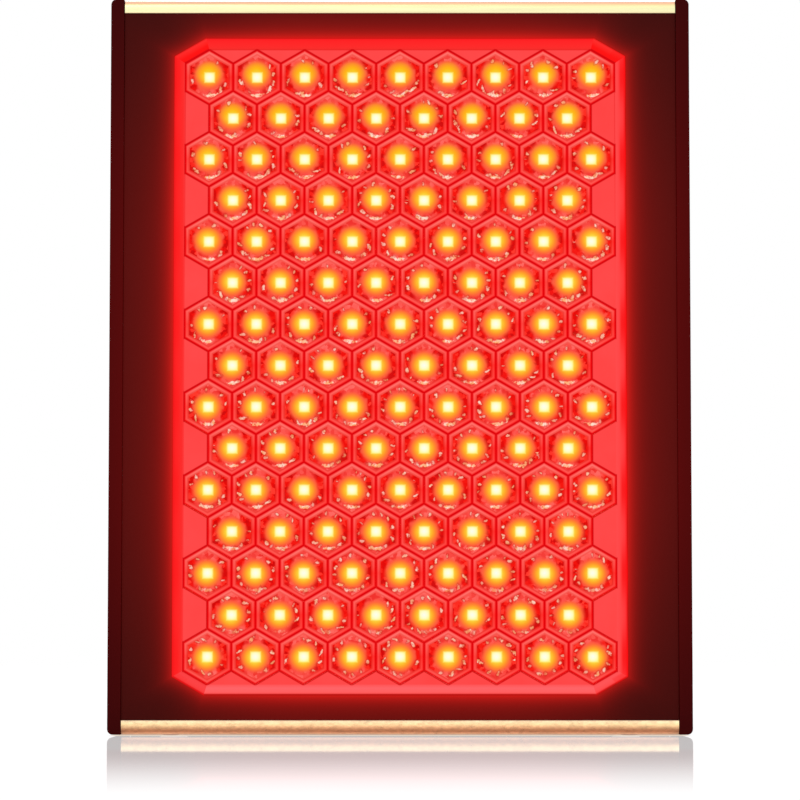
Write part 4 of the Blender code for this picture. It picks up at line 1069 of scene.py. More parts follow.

# %% [markdown]
# ## Gold trim bars
#
# A bright anodised quarter-round closes the plate above and below. A metal shader alone leaves the
# bar's colour to whatever it happens to mirror. So the bar still mirrors the room, but its tone runs
# through a ramp over its height that paints light and shade: a pale painted highlight where it faces
# the light and a copper painted shade where it turns to the table, with fine brush lines along it.
# The lower bar also gets a little emission: painted light for the light that the table throws up.

# %% Trim finish and painted light
def trim_material(name, low, height, tones, bounce, grain, stretch):
    """Gold coloured by height above its lower edge as painted light and shade, with painted bounced light.
    """
    material, shader = new_material(name, Metallic=1.0, Emission_Strength=bounce)
    place = piece_place()
    share = math_node('DIVIDE', split(place)[2] - low, height, clamp=True)
    brush = use_group(brushed_group, Position=place, Along=(stretch, 1.0, 1.0))
    streaked = scaled(ramp(share, *tones), swing(brush[0], grain, 1.0))
    feed(shader, Base_Color=streaked, Emission_Color=streaked, Roughness=brush[1])
    return material


# The tones paint light and shade: pale where a bar faces the light, copper where it turns to the table.
TRIM_TONES = {
    "trim_top": [(0.0, 226, 182, 147), (0.07, 252, 243, 190), (0.3, 255, 250, 196),
                 (0.48, 253, 243, 184), (0.58, 254, 232, 174), (0.66, 253, 216, 164),
                 (0.75, 250, 196, 160), (0.86, 243, 193, 166), (0.96, 246, 224, 202)],
    "trim_bottom": [(0.02, 216, 168, 138), (0.09, 246, 204, 166), (0.17, 197, 140, 106),
                    (0.27, 182, 127, 93), (0.37, 192, 139, 104), (0.46, 216, 170, 127),
                    (0.57, 240, 201, 151), (0.72, 252, 220, 165), (0.88, 252, 230, 182),
                    (1.0, 240, 208, 172)],
}
# Painted bounced light, depth of the grain and its stretch along the bar.
TRIM_BOUNCE_AND_GRAIN = {"trim_top": (0.0, 0.3, 0.02), "trim_bottom": (0.3, 0.8, 0.5)}
print("tones of the bars:", {name: len(tones) for name, tones in TRIM_TONES.items()})

# %% [markdown]
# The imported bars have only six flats. The picture's bands of light suggest a squarer bar with a
# smaller corner, so a fine arc of that size joins two flats, drawn out along X between two caps.

# %% Trims
ARC_POINTS = 20
TRIM_CORNER = 4.2 * MM


def extruded_bar(name, profile, half_length, material):
    """A closed Y and Z outline drawn out along X between two end caps."""
    count = len(profile)
    ends = [np.column_stack([np.full(count, x), profile]) for x in (-half_length, half_length)]
    faces = ring_faces(2, count).tolist() + [list(range(count))[::-1], list(range(count, 2 * count))]
    return mesh_piece(name, np.concatenate(ends), faces, material)


for name, tones in TRIM_TONES.items():
    low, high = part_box(name)
    angles = np.linspace(math.pi / 2, math.pi, ARC_POINTS)
    way = 1 if name == "trim_top" else -1
    outer, inner = (high.z, low.z) if way > 0 else (low.z, high.z)
    arc = np.column_stack([low.y + TRIM_CORNER + TRIM_CORNER * np.cos(angles),
                           outer - way * TRIM_CORNER * (1 - np.sin(angles))])
    profile = np.concatenate([[[high.y, outer]], arc, [[low.y, inner], [high.y, inner]]])[::way]
    material = trim_material(f"gold_{name}", low.z, high.z - low.z, tones, *TRIM_BOUNCE_AND_GRAIN[name])
    bar = extruded_bar(f"{name}_bar", profile, high.x, material)
    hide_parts(name)
    print(bar.name, len(bar.data.polygons), "faces")

# %% [markdown]
# ## Finishes behind the panel
#
# The back is made of black powder coat, zinc plated wire, black moulded plastic and bare aluminium.
# Each could get its own long tree, but they differ only in colour and in the size of their grain,
# so one group for plastic and the brush lines of the trims serve them all.

# %% Moulded plastic
PLASTIC_GRAIN = 3200.0
CLOUD_SCALE = 45.0
CLOUD_DEPTH = 0.3
PLASTIC_ROUGHNESS = (0.25, 0.3)
PLASTIC_BUMP = (0.15, 0.05 * MM)

plastic_group, entry = new_group("moulded_plastic",
                                 {"Position": VECTOR, "Colour": COLOUR, "Grain": PLASTIC_GRAIN},
                                 {"Colour": COLOUR, "Roughness": VALUE, "Height": VALUE})
spark = noise(entry[0], entry[2], 2.0)[0]
cloud = noise(entry[0], CLOUD_SCALE, 3.0)[0]
deliver(scaled(entry[1], swing(cloud, CLOUD_DEPTH, 1.0)), line(spark, *PLASTIC_ROUGHNESS), spark)


def plastic_material(name, colour, grain=PLASTIC_GRAIN, **values):
    """Moulded plastic or rubber with a spark-eroded grain."""
    material, shader = new_material(name, **values)
    skin = use_group(plastic_group, Position=piece_place(), Colour=colour, Grain=grain)
    feed(shader, Base_Color=skin[0], Roughness=skin[1])
    roughen(shader, skin[2], *PLASTIC_BUMP)
    return material


print("plastic nodes:", len(plastic_group.nodes))

# %% [markdown]
# Metals differ in the way their lines run: wire has none, sheet is brushed upwards, the heat sink
# and the driver cases are drawn through a die. The feet are pale silicone with a little light of
# their own, because hardly any reaches them in the gap under the panel.

# %% Finishes
METAL_DEPTH = 0.4
ZINC = screen(176, 178, 182)[:3]
ALUMINIUM = screen(205, 206, 209)[:3]
NICKEL = screen(214, 205, 180)[:3]


def metal_material(name, colour, along, scale):
    """Bare or plated metal whose lines run along one axis."""
    material, shader = new_material(name, Metallic=1.0)
    brush = use_group(brushed_group, Position=piece_place(), Along=along, Scale=scale)
    feed(shader, Base_Color=scaled(colour, swing(brush[0], METAL_DEPTH, 1.0)), Roughness=brush[1])
    return material


powder_material = coated_material("black_powder", screen(33, 33, 36), False, grain=1500.0,
                                  Specular_IOR_Level=0.4)
wire_material = metal_material("zinc_wire", ZINC, (1.0, 1.0, 1.0), 260.0)
sheet_material = metal_material("zinc_sheet", ZINC, (1.0, 1.0, 0.04), 1200.0)
sink_material = metal_material("extruded_aluminium", ALUMINIUM, (1.0, 1.0, 0.02), 1100.0)
case_material = metal_material("case_aluminium", ALUMINIUM, (0.03, 1.0, 1.0), 1000.0)
pin_material = metal_material("nickel_brass", NICKEL, (1.0, 0.05, 1.0), 1500.0)
black_material = plastic_material("black_plastic", screen(30, 30, 32))
rotor_material = plastic_material("rotor_plastic", screen(24, 24, 26), 2000.0)
rubber_material = plastic_material("black_rubber", screen(36, 36, 37), 4200.0, Specular_IOR_Level=0.2)
foot_material = plastic_material("pale_silicone", screen(206, 198, 193), 4200.0, Specular_IOR_Level=0.2,
                                 Emission_Color=screen(206, 190, 180), Emission_Strength=0.4)
print("finishes:", len(bpy.data.materials))

# %% [markdown]
# ## Skins over rows of outlines
#
# Wires, blades, bars, feet and screws are all one kind of surface: closed outlines set in a row,
# joined by quads, with a flat cap on each end or, for a ring, the last outline joined to the first.
# One function makes that skin from an array. Outlines turn the same way round as the row's
# direction, so every skin faces outwards.

# %% Skins
def loft(sections, ring=False):
    """Points and face blocks of a skin over an array of outlines, (rows, points, 3)."""
    rows, points = sections.shape[:2]
    here = np.arange(points)
    last = (rows - 1) * points + here
    if ring:
        ends = [np.stack([last, np.roll(last, -1), np.roll(here, -1), here], axis=1)]
    else:
        ends = [here[::-1][None], last[None]]
    return sections.reshape(-1, 3), [ring_faces(rows, points)] + ends


def merged(skins):
    """Several skins as one: each one's faces count on from the points of those before it."""
    points, faces, first = [], [], 0
    for spots, blocks in skins:
        points.append(spots)
        faces.extend(face for block in blocks for face in (block + first).tolist())
        first += len(spots)
    return np.concatenate(points), faces


print("faces of a box as a skin:", len(merged([loft(np.zeros((2, 4, 3)))])[1]))

# %% [markdown]
# Round forms start from circles. Full turns of a profile give heads, caps and feet, and places on a
# circle or at an angle help to set things round a hub.

# %% Circles
TURN_AXES = {"Y": ((0, 0, 1), (1, 0, 0), (0, 1, 0)), "Z": ((1, 0, 0), (0, 1, 0), (0, 0, 1))}


def full_turn(steps):
    """Angles of some equal steps of one turn."""
    return np.arange(steps) * math.tau / steps


def turned(profile, centre, axis, steps):
    """A profile of radius and height pairs turned about Y or Z. Heights count from the centre."""
    profile = np.asarray(profile, dtype=float)
    turns = full_turn(steps)[:, None]
    first, second, along = (np.array(way) for way in TURN_AXES[axis])
    circle = np.cos(turns) * first + np.sin(turns) * second
    sections = profile[:, 0, None, None] * circle + (profile[:, 1, None] * along)[:, None]
    return sections + np.asarray(centre)


def circle_path(centre, radius, steps):
    """Places on a circle in X and Z round a centre."""
    turns = full_turn(steps)
    return np.asarray(centre) + radius * np.column_stack([np.cos(turns), np.zeros(steps), np.sin(turns)])


def polar(centre, radius, degrees):
    """The place at a radius and an angle from a centre, in the X and Z plane."""
    turn = np.radians(degrees)
    return np.asarray(centre) + np.array([radius * np.cos(turn), 0, radius * np.sin(turn)])


def middle_of(low, high, y=0.0):
    """The middle of a box in X and Z, at a depth of its own."""
    return (low.x + high.x) / 2, y, (low.z + high.z) / 2


print("a quarter turn from (0, 0, 0):", polar((0, 0, 0), 1, 90).round(3).tolist())

# %% [markdown]
# A bent rod could be a curve object with a round bevel. As an array it stays an open recipe: at
# each place of the path a circle stands square to the way on, and four smaller circles round off
# each open end.

# %% Round bars
END_STEPS = 4
END_LENGTH = 0.7
UPRIGHT = np.array([0.0, 1.0, 0.0])


def flat_tube(path, radius, steps, ring=False):
    """A round bar along a path that stays in one X and Z plane, with rounded-off open ends."""
    path = np.asarray(path, dtype=float)
    if ring:
        way = np.roll(path, -1, axis=0) - np.roll(path, 1, axis=0)
        sizes = np.full(len(path), radius)
    else:
        way = np.gradient(path, axis=0)
        swell = np.linspace(0.3, math.pi / 2, END_STEPS)
        back = radius * END_LENGTH * np.cos(swell)
        lead = path[0] - way[0] / np.linalg.norm(way[0]) * back[:, None]
        tail = path[-1] + way[-1] / np.linalg.norm(way[-1]) * back[::-1, None]
        sizes = np.concatenate([radius * np.sin(swell), np.full(len(path) - 2, radius),
                                radius * np.sin(swell)[::-1]])
        way = np.concatenate([np.tile(way[0], (END_STEPS, 1)), way[1:-1], np.tile(way[-1], (END_STEPS, 1))])
        path = np.concatenate([lead, path[1:-1], tail])
    way = way / np.linalg.norm(way, axis=1)[:, None]
    side = np.cross(UPRIGHT, way)
    turns = full_turn(steps)[:, None]
    offsets = np.cos(turns) * side[:, None] + np.sin(turns) * UPRIGHT
    return loft(path[:, None] + sizes[:, None, None] * offsets, ring)


print("points of a ring of wire:", len(flat_tube(circle_path((0, 0, 0), 1, 8), 0.1, 6, ring=True)[0]))

# %% [markdown]
# ## Screws
#
# A round-headed screw has a low crown with a cross pressed into it. The cross could be cut with a
# boolean, but on a skin it is only a matter of height: points of the crown that fall inside the
# cross are lowered, with a narrow slope at its edge.

# %% Screws
SCREW_RINGS = np.concatenate([np.arange(3.0, 2.1, -0.2), np.arange(2.0, 0.1, -0.16), [0.1]]) * MM
SCREW_STEPS = 64
CROWN_EDGE = 0.55
CROWN_ROUND = 0.7
CROSS_DEPTH = 0.55
# Half width and half length of the cross as shares of the head, each with its slope.
CROSS_ARM = (0.16, 0.06)
CROSS_TIP = (0.60, 0.08)
HEAD_SHARE = 0.99
HEAD_STEP = 0.3 * MM
REAR_SHANK = 1.4 * MM


def screw_skin(centre, head, height, shank, length):
    """Shank, head and crown, measured from a centre under the head.

    The crown follows a cosine raised to a power. The cross lowers it by a depth times the slopes
    of its arm and its tip.
    """
    rings = SCREW_RINGS * head / (3 * MM)
    crown = height * (CROWN_EDGE + (1 - CROWN_EDGE) * np.cos(rings / head * math.pi / 2) ** CROWN_ROUND)
    profile = np.concatenate([[[shank * 0.6, -length], [shank, -length * 0.9], [shank, 0], [head, 0]],
                              np.column_stack([rings, crown])])
    sections = turned(profile, centre, 'Y', SCREW_STEPS)
    spots = np.abs(sections[4:] - np.asarray(centre))[..., [0, 2]] / head
    arm = np.clip((CROSS_ARM[0] - spots.min(axis=-1)) / CROSS_ARM[1], 0, 1)
    tip = np.clip((CROSS_TIP[0] - spots.max(axis=-1)) / CROSS_TIP[1], 0, 1)
    sections[4:, :, 1] -= arm * tip * height * CROSS_DEPTH
    return loft(sections)


screw_names = [name for name in sorted(nodes) if name.startswith("rear_screw_")]
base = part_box("rear_cover")[1].y + HEAD_STEP
for name in screw_names:
    low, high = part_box(name)
    skin = merged([screw_skin(middle_of(low, high, base), (high.x - low.x) / 2 * HEAD_SHARE,
                              high.y - base, REAR_SHANK, base - low.y)])
    screw = mesh_piece(f"{name}_cross", *skin, wire_material, degrees=40)
    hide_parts(name)
print("screws:", len(screw_names), "faces each:", len(screw.data.polygons))

# %% [markdown]
# ## Finger guards
#
# A finger guard is bent from wire: rings welded on four radial wires that end in screw eyes. The
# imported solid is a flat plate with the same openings. Round bars in its place catch the light as
# wire does, with the rings outermost and the radial wires under them. The four screws in the eyes
# have no solids of their own, so they are an extra piece that replaces nothing.

# %% Finger guards
GUARD_RINGS = (15.5, 22.9, 30.3, 37.7)
GUARD_WIRE = 0.8 * MM
WIRE_STEPS, RING_STEPS, EYE_STEPS, DISC_STEPS = 10, 96, 28, 48
RADIAL_PLACES = 5
GUARD_HUB = 9 * MM
RADIAL_START = 6 * MM
SCREW_REACH = 50.56 * MM
EYE_RADIUS = 2.7 * MM
QUARTERS = (45, 135, 225, 315)
GUARD_HEAD, GUARD_CROWN, GUARD_SHANK, SHANK_LENGTH = 2.9 * MM, 0.75 * MM, 1.7 * MM, 3 * MM


def guard_skins(low, high):
    """Rings behind, radial wires and eyes in front, and the turned disc in the middle."""
    front = middle_of(low, high, low.y + GUARD_WIRE)
    outer = middle_of(low, high, high.y - GUARD_WIRE)
    skins = [flat_tube(circle_path(outer, radius * MM, RING_STEPS), GUARD_WIRE, WIRE_STEPS, ring=True)
             for radius in GUARD_RINGS]
    for angle in QUARTERS:
        radial = np.linspace(polar(front, RADIAL_START, angle),
                             polar(front, SCREW_REACH - EYE_RADIUS, angle), RADIAL_PLACES)
        eye = circle_path(polar(front, SCREW_REACH, angle), EYE_RADIUS, EYE_STEPS)
        skins.append(flat_tube(radial, GUARD_WIRE, WIRE_STEPS))
        skins.append(flat_tube(eye, GUARD_WIRE, WIRE_STEPS, ring=True))
    thick = high.y - low.y
    disc = [(GUARD_HUB - 0.4 * MM, 0), (GUARD_HUB, 0.3 * MM), (GUARD_HUB, thick - 0.5 * MM),
            (GUARD_HUB - 0.5 * MM, thick - 0.1 * MM), (GUARD_HUB - 1.2 * MM, thick),
            (GUARD_HUB - 1.9 * MM, thick - 0.35 * MM)]
    return skins + [loft(turned(disc, middle_of(low, high, low.y), 'Y', DISC_STEPS))]


for side in SIDES:
    name = f"fan_guard_{side}"
    low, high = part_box(name)
    guard = mesh_piece(f"{name}_wires", *merged(guard_skins(low, high)), wire_material, degrees=50)
    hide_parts(name)
    under = middle_of(low, high, high.y - GUARD_CROWN)
    heads = [screw_skin(polar(under, SCREW_REACH, angle), GUARD_HEAD, GUARD_CROWN, GUARD_SHANK,
                        SHANK_LENGTH) for angle in QUARTERS]
    piece = mesh_piece(f"{name}_screws", *merged(heads), wire_material, degrees=40)
    print(guard.name, len(guard.data.polygons), "faces, with", len(heads), "screws")

# %% [markdown]
# ## Fan frames and rotors
#
# Behind the guards sit two square fans. A frame is a round duct between two square flanges, with a
# motor plate on three arms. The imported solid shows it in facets. Here its outlines run round a
# rounded square and a circle with the same number of points, so that quads can join them.

# %% Frame outlines
FRAME_POINTS = 128
frame_turns = (np.arange(FRAME_POINTS) + 0.5) * math.tau / FRAME_POINTS


def square_outline(half, corner):
    """Distance to a rounded square for each direction: the flat side, or the corner's circle."""
    x, z = np.abs(np.cos(frame_turns)), np.abs(np.sin(frame_turns))
    reach = half / np.maximum(x, z)
    inner = half - corner
    toward = (x + z) * inner
    curved = toward + np.sqrt(np.maximum(toward ** 2 - 2 * inner ** 2 + corner ** 2, 0))
    return np.where(np.minimum(x, z) * reach > inner, curved, reach)


def frame_section(distance, y, hub):
    """One outline of the frame: a distance in each direction at a depth."""
    distance = np.broadcast_to(distance, frame_turns.shape)
    return np.column_stack([hub[0] + distance * np.cos(frame_turns), np.full(FRAME_POINTS, y),
                            hub[2] + distance * np.sin(frame_turns)])


def rounded_bar(start, end, across, thick, width):
    """A bar between two places, with an eight-sided section."""
    cut = 0.3
    outline = np.array([(-1, -1 + cut), (-1, 1 - cut), (-1 + cut, 1), (1 - cut, 1),
                        (1, 1 - cut), (1, -1 + cut), (1 - cut, -1), (-1 + cut, -1)]) / 2
    flat = outline[:, :1] * width * across + outline[:, 1:] * thick * UPRIGHT
    return loft(np.stack([start + flat, end + flat]))


print("a 40 mm square reaches", round(float(square_outline(40, 4).max()), 2), "mm at its corner")

# %% [markdown]
# The duct's profile is walked once round, from the bore out over one flange, back through the
# waist and over the other flange. Each place of it is one outline, and the last joins the first.

# %% Fan frames
MOTOR = np.array([(16.5, 0), (18, 0.5), (18, 2.2), (17.4, 2.75), (16.4, 2.85), (16.0, 2.4)]) * MM
ARM_TURNS = (0, 120, 240)
ARM_START, ARM_END, ARM_WIDTH = 17 * MM, 1.5 * MM, 4.6 * MM
HUB_STEPS = 64
FLANGE_CORNER = 4 * MM


def frame_skins(low, high):
    """The duct between its flanges, the motor plate and its three arms."""
    hub = middle_of(low, high)
    half = (high.x - low.x) / 2
    square = square_outline(half, FLANGE_CORNER)
    bore, duct = half - 2 * MM, half - 0.7 * MM
    profile = [(bore, low.y + 3 * MM), (bore, high.y - 3 * MM), (bore + 0.3 * MM, high.y - 1 * MM),
               (bore + 0.9 * MM, high.y), (square - 0.4 * MM, high.y), (square, high.y - 0.4 * MM),
               (square, high.y - 4 * MM), (duct, high.y - 4.2 * MM), (duct, low.y + 4.2 * MM),
               (square, low.y + 4 * MM), (square, low.y + 0.4 * MM), (square - 0.4 * MM, low.y),
               (bore + 0.9 * MM, low.y), (bore + 0.3 * MM, low.y + 1 * MM)]
    skins = [loft(np.stack([frame_section(distance, y, hub) for distance, y in profile]), ring=True)]
    plate_back, plate_front = high.y - 0.15 * MM, high.y - 3 * MM
    skins.append(loft(turned(MOTOR, middle_of(low, high, plate_front), 'Y', HUB_STEPS)))
    for turn in ARM_TURNS:
        inner_end, outer_end = polar(hub, ARM_START, turn), polar(hub, half - ARM_END, turn)
        inner_end[1] = outer_end[1] = (plate_front + plate_back) / 2
        skins.append(rounded_bar(inner_end, outer_end, polar((0, 0, 0), 1.0, turn + 90),
                                 plate_back - plate_front, ARM_WIDTH))
    return skins


for side in SIDES:
    name = f"fan_frame_{side}"
    skins = frame_skins(*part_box(name))
    frame_piece = mesh_piece(f"{name}_duct", *merged(skins), black_material, degrees=30)
    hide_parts(name)
print("frames:", len(frame_piece.data.polygons), "faces each")

# %% [markdown]
# A rotor carries seven twisted blades on a cap. Each blade is a row of wing sections: steep and
# short at the hub, flatter and longer outside, and wrapped round the fan's axis.

# %% Fan rotors
BLADES = 7
STATIONS = 14
WING_POINTS = 12
# Values at the hub, and by how much they grow or shrink to the tip.
BLADE_RADIUS = (16.8, 36.4 - 16.8)
BLADE_CHORD = (13, 8)
BLADE_PITCH = (52, -20)
BLADE_SWEEP = 0.16
TIP_FULLNESS = (1.02, 0.15)
WING_CAMBER = 0.9 * MM
WING_HALF = 0.7 * MM


def blade_skin(hub, turn):
    """One blade: wing sections from inside the hub to the tip, longer and flatter as they go out.

    Each section is an ellipse along its chord, raised by a camber of one less the place squared,
    turned by its pitch and wrapped round the axis: its angle is its sweep over its radius.
    """
    share = np.linspace(0, 1, STATIONS)[:, None]
    radius, chord, pitch = (start + growth * share
                            for start, growth in (BLADE_RADIUS, BLADE_CHORD, BLADE_PITCH))
    radius, pitch = radius * MM, np.radians(pitch)
    chord = chord * MM * np.sqrt(np.clip(TIP_FULLNESS[0] - share ** 8, TIP_FULLNESS[1], 1))
    along = np.cos(np.linspace(0, math.pi, WING_POINTS))
    upper = np.sqrt(np.clip(1 - along ** 2, 0, 1))
    spots_along = np.concatenate([along, along[1:-1][::-1]])
    spots_across = np.concatenate([upper, -upper[1:-1][::-1]])
    run = chord / 2 * spots_along
    rise = WING_HALF * spots_across + WING_CAMBER * (1 - spots_along ** 2)
    sweep = run * np.cos(pitch) - rise * np.sin(pitch)
    height = run * np.sin(pitch) + rise * np.cos(pitch)
    angle = sweep / radius + turn + BLADE_SWEEP * share
    sections = np.stack([radius * np.cos(angle), height, radius * np.sin(angle)], axis=-1)
    return loft(sections + np.asarray(hub))


for side in SIDES:
    name = f"fan_rotor_{side}"
    hub_x, _, hub_z = middle_of(*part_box(f"fan_frame_{side}"))
    low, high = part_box(name)
    length_y = high.y - low.y
    cap = [(15.5 * MM, 0), (17.2 * MM, 0.4 * MM), (18 * MM, 1.4 * MM), (18 * MM, length_y - 0.6 * MM),
           (17.4 * MM, length_y)]
    skins = [loft(turned(cap, (hub_x, low.y, hub_z), 'Y', HUB_STEPS))]
    skins += [blade_skin((hub_x, (low.y + high.y) / 2, hub_z), turn) for turn in full_turn(BLADES)]
    rotor = mesh_piece(f"{name}_blades", *merged(skins), rotor_material, f"fan_{side}", 40)
    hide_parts(name)
print("rotors:", len(rotor.data.polygons), "faces each")

# %% [markdown]
# ## Folding stand
#
# The stand is one bent rod: its ends turn inwards through the brackets and its crossbar rests low
# behind the panel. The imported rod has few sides, so a finer bar with true bends stands for it and
# turns with it. One half of its path is worked out and mirrored.

# %% Stand
ROD = 2.48 * MM
BEND = 6 * MM
BEND_STEPS = 12
ROD_STEPS = 20
END_X, END_STRAIGHT = 88 * MM, 3 * MM
PIVOT_DROP, BAR_LIFT = 2.5 * MM, 0.01 * MM

low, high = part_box("stand")
pivot_z = high.z - PIVOT_DROP
bar_z = low.z + ROD + BAR_LIFT
upper = np.linspace(math.pi / 2, 0, BEND_STEPS)
lower = np.linspace(0, -math.pi / 2, BEND_STEPS)
bend_x = high.x - ROD - BEND
half_path = np.concatenate([
    [(END_X, pivot_z), (END_X + END_STRAIGHT, pivot_z)],
    np.column_stack([bend_x + BEND * np.cos(upper), pivot_z - BEND + BEND * np.sin(upper)]),
    np.column_stack([bend_x + BEND * np.cos(lower), bar_z + BEND + BEND * np.sin(lower)])])
whole = np.concatenate([half_path, half_path[::-1] * (-1, 1)])
rod_path = np.column_stack([whole[:, 0], np.full(len(whole), (low.y + high.y) / 2), whole[:, 1]])
rod = mesh_piece("stand_rod", *merged([flat_tube(rod_path, ROD, ROD_STEPS)]), wire_material, "stand", 60)
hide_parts("stand")
print("rod faces:", len(rod.data.polygons))

# %% [markdown]
# ## Feet
#
# The feet are stick-on domes of pale silicone, widest where they are glued on. Each is one profile
# of radius and height turned about Z.

# %% Feet
FOOT_PROFILE = ((2.0, 0), (3.0, 0.08), (4.2, 0.35), (5.3, 0.8), (6.1, 1.3), (6.7, 1.9), (6.9, 2.3))
FOOT_STEPS = 40

for name in ("foot_front_left", "foot_front_right", "foot_rear_left", "foot_rear_right"):
    low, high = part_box(name)
    centre = ((low.x + high.x) / 2, (low.y + high.y) / 2, low.z)
    dome = merged([loft(turned(np.array(FOOT_PROFILE) * MM, centre, 'Z', FOOT_STEPS))])
    foot = mesh_piece(f"{name}_dome", *dome, foot_material, degrees=40)
    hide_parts(name)
print("foot faces:", len(foot.data.polygons))

# %% [markdown]
# ## Housings, inlet, brackets and driver cases
#
# These are moulded or folded pieces with crisp but not knife-sharp edges. They could be modelled
# again, but a copy of each solid with its edges rounded by a fraction of a millimetre gives the
# same bright line that a real edge shows. Pieces that need no new edges only get their material.

# %% Softened copies
MERGE_WITHIN = 0.001 * MM
FLAT_ANGLE, SHARP_ANGLE = math.radians(1), math.radians(40)


def softened(name, width, material):
    """A copy of a solid: points merged, flat faces joined, then sharp edges rounded."""
    shape = bmesh.new()
    shape.from_mesh(nodes[name].data)
    shape.transform(nodes[name].matrix_world)
    bmesh.ops.remove_doubles(shape, verts=shape.verts[:], dist=MERGE_WITHIN)
    bmesh.ops.dissolve_limit(shape, angle_limit=FLAT_ANGLE, verts=shape.verts[:], edges=shape.edges[:])
    sharp = [edge for edge in shape.edges if edge.is_manifold and edge.calc_face_angle() > SHARP_ANGLE]
    bmesh.ops.bevel(shape, geom=sharp, offset=width, offset_type='OFFSET', segments=2, profile=0.5,
                    affect='EDGES', clamp_overlap=True)
    mesh = bpy.data.meshes.new(f"{name}_soft")
    shape.to_mesh(mesh)
    shape.free()
    piece = new_piece(mesh, material, "panel", 30)
    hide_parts(name)
    return piece


SOFT_EDGES = {"stand_bracket_left": (0.3, sheet_material, "steel"),
              "stand_bracket_right": (0.3, sheet_material, "steel"),
              "inlet_body": (0.3, black_material, "black_plastic"),
              "switch_housing_left": (0.3, black_material, "black_plastic"),
              "switch_housing_right": (0.3, black_material, "black_plastic"),
              "led_driver_left": (0.5, case_material, "aluminium"),
              "led_driver_right": (0.5, case_material, "aluminium")}
for name, (width, material, slot) in SOFT_EDGES.items():
    piece = softened(name, width * MM, material)
    print(name, len(piece.data.polygons), "faces")
for name, material in (("inlet_pin_line", pin_material), ("inlet_pin_neutral", pin_material),
                       ("inlet_pin_earth", pin_material), ("mains_wire_left", rubber_material),
                       ("mains_wire_right", rubber_material), ("rear_cover", powder_material),
                       ("heat_sink", sink_material)):
    dress(name, material)

# %% [markdown]
# ## Rockers
#
# A rocker is moulded in red plastic with its on and off marks printed on. A picture of the marks
# would need a file, so they are worked out from two distances: a bar is near a line, and a ring is
# near a circle. Sizes count in millimetres.

# %% Rocker finish
MARK_PLACE = 4.3
BAR_SIDE = (0.42, 0.30)
BAR_END = (1.75, 1.62)
RING_RADIUS = 1.5
RING_EDGE = (0.38, 0.26)
ROCKER_POLISH = 0.12

mark_group, entry = new_group("switch_marks", {"Place": VECTOR}, {"Mark": VALUE})
place = split(entry[0])
u, v = place[0], place[1]
bar = smooth(abs(u), *BAR_SIDE) * smooth(abs(v - MARK_PLACE), *BAR_END)
from_ring = abs(length(flat_vector(u, v + MARK_PLACE)) - RING_RADIUS)
deliver(largest(bar, smooth(from_ring, *RING_EDGE)))

rocker_material, shader = new_material("rocker_red", Specular_IOR_Level=0.5)
skin = use_group(plastic_group, Position=piece_place(), Colour=screen(176, 22, 20), Grain=2600.0)
mark = use_group(mark_group, Place=node('ShaderNodeUVMap', uv_map="mark")[0])
feed(shader, Base_Color=mix(mark[0], skin[0], screen(238, 238, 236)), Roughness=skin[1] - ROCKER_POLISH)
print("rocker nodes:", len(work.tree.nodes))

# %% [markdown]
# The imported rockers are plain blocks, so they are drawn anew with a hollow face and a round belly.
# The outline is turned to the off position and drawn out along X, a little smaller at each end.

# %% Rockers
ROCKER_TILT = math.radians(-10)
ROCKER_REACH = 7.9
ROCKER_HALF = 5.0
FACE_PLACES = 25
FACE_HOLLOW = 1.2
LIP_START, LIP_DROP = 7.6, 0.25
END_INSET = 0.3
INSETS = np.array([0.25, 0, 0, 0.25]) / 8

face_z = np.linspace(-ROCKER_REACH, ROCKER_REACH, FACE_PLACES)
face_y = FACE_HOLLOW * (face_z / ROCKER_REACH) ** 2 - np.where(np.abs(face_z) > LIP_START, LIP_DROP, 0)
belly_z = np.array([7.9, 7.5, 6.4, 5.2, 4.0, 2.0, 0, -2.0, -4.0, -5.2, -6.4, -7.5, -7.9])
belly_y = np.array([-0.9, -1.6, -2.6, -3.6, -4.4, -4.5, -4.5, -4.5, -4.4, -3.6, -2.6, -1.6, -0.9])
outline = np.column_stack([np.concatenate([face_y, belly_y]), np.concatenate([face_z, belly_z])])
flat = outline[None] * (1 - INSETS)[:, None, None]
tilted_y = flat[..., 0] * math.cos(ROCKER_TILT) - flat[..., 1] * math.sin(ROCKER_TILT)
tilted_z = flat[..., 0] * math.sin(ROCKER_TILT) + flat[..., 1] * math.cos(ROCKER_TILT)
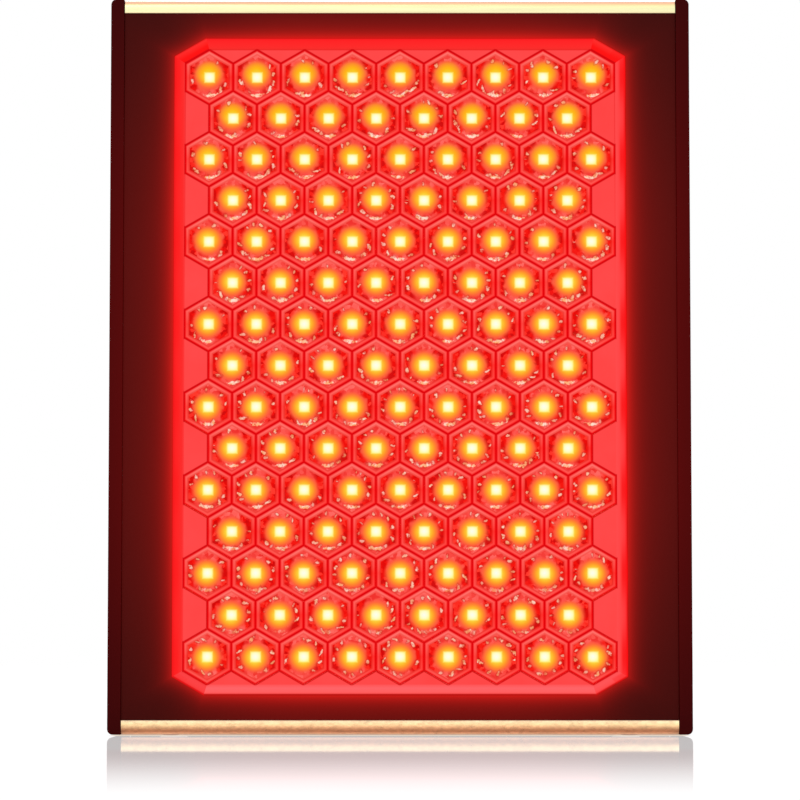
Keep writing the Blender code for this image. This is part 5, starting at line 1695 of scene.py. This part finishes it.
rocker_x = np.array([-ROCKER_HALF, -ROCKER_HALF + END_INSET, ROCKER_HALF - END_INSET, ROCKER_HALF])
x = np.broadcast_to(rocker_x[:, None], tilted_y.shape)
for side in SIDES:
    name = f"switch_rocker_{side}"
    low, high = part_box(f"switch_housing_{side}")
    sections = np.stack([x, tilted_y, tilted_z], axis=-1) * MM + middle_of(low, high, high.y)
    rocker = mesh_piece(f"{name}_cap", *merged([loft(sections)]), rocker_material, f"rocker_{side}", 40)
    corner_map(rocker, "mark", np.column_stack([-x.ravel(), flat[..., 1].ravel()]))
    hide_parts(name)
print("rockers:", len(rocker.data.polygons), "faces each")

# %% [markdown]
# ## Boards inside
#
# The boards hardly show, only through the vents. They still get a printed look: a solder mask over
# a net of tracks, drawn by a brick pattern whose joints are the tracks.

# %% Boards
TRACK_WIDTH = 0.03
BOARD_BUMP = (0.3, 0.1 * MM)

board_group, entry = new_group("printed_board",
                               {"Position": VECTOR, "Mask": COLOUR, "Tracks": COLOUR, "Scale": 60.0},
                               {"Colour": COLOUR, "Height": VALUE})
place = split(entry[0])
net = node('ShaderNodeTexBrick', {'Vector': flat_vector(place[0], place[2]), 'Color1': entry[1],
                                  'Color2': entry[1], 'Mortar': entry[2], 'Scale': entry[3],
                                  'Mortar Size': TRACK_WIDTH})
deliver(net['Color'], net['Fac'])


def board_material(name, mask, tracks, scale):
    """A printed circuit board: solder mask over slightly raised tracks."""
    material, shader = new_material(name, Roughness=0.35)
    look = use_group(board_group, Position=piece_place(), Mask=mask, Tracks=tracks, Scale=scale)
    feed(shader, Base_Color=look[0])
    roughen(shader, look[1], *BOARD_BUMP)
    return material


dress("led_board", board_material("white_board", screen(232, 232, 226), screen(214, 200, 170), 60.0))
dress("control_board", board_material("green_board", screen(28, 104, 58), screen(70, 140, 84), 120.0))
string_material = board_material("led_string", screen(255, 240, 180), screen(236, 210, 120), 90.0)
strings = [name for name in sorted(nodes) if name.startswith("led_string_")]
for name in strings:
    dress(name, string_material)
print("boards dressed, with", len(strings), "strings of chips")
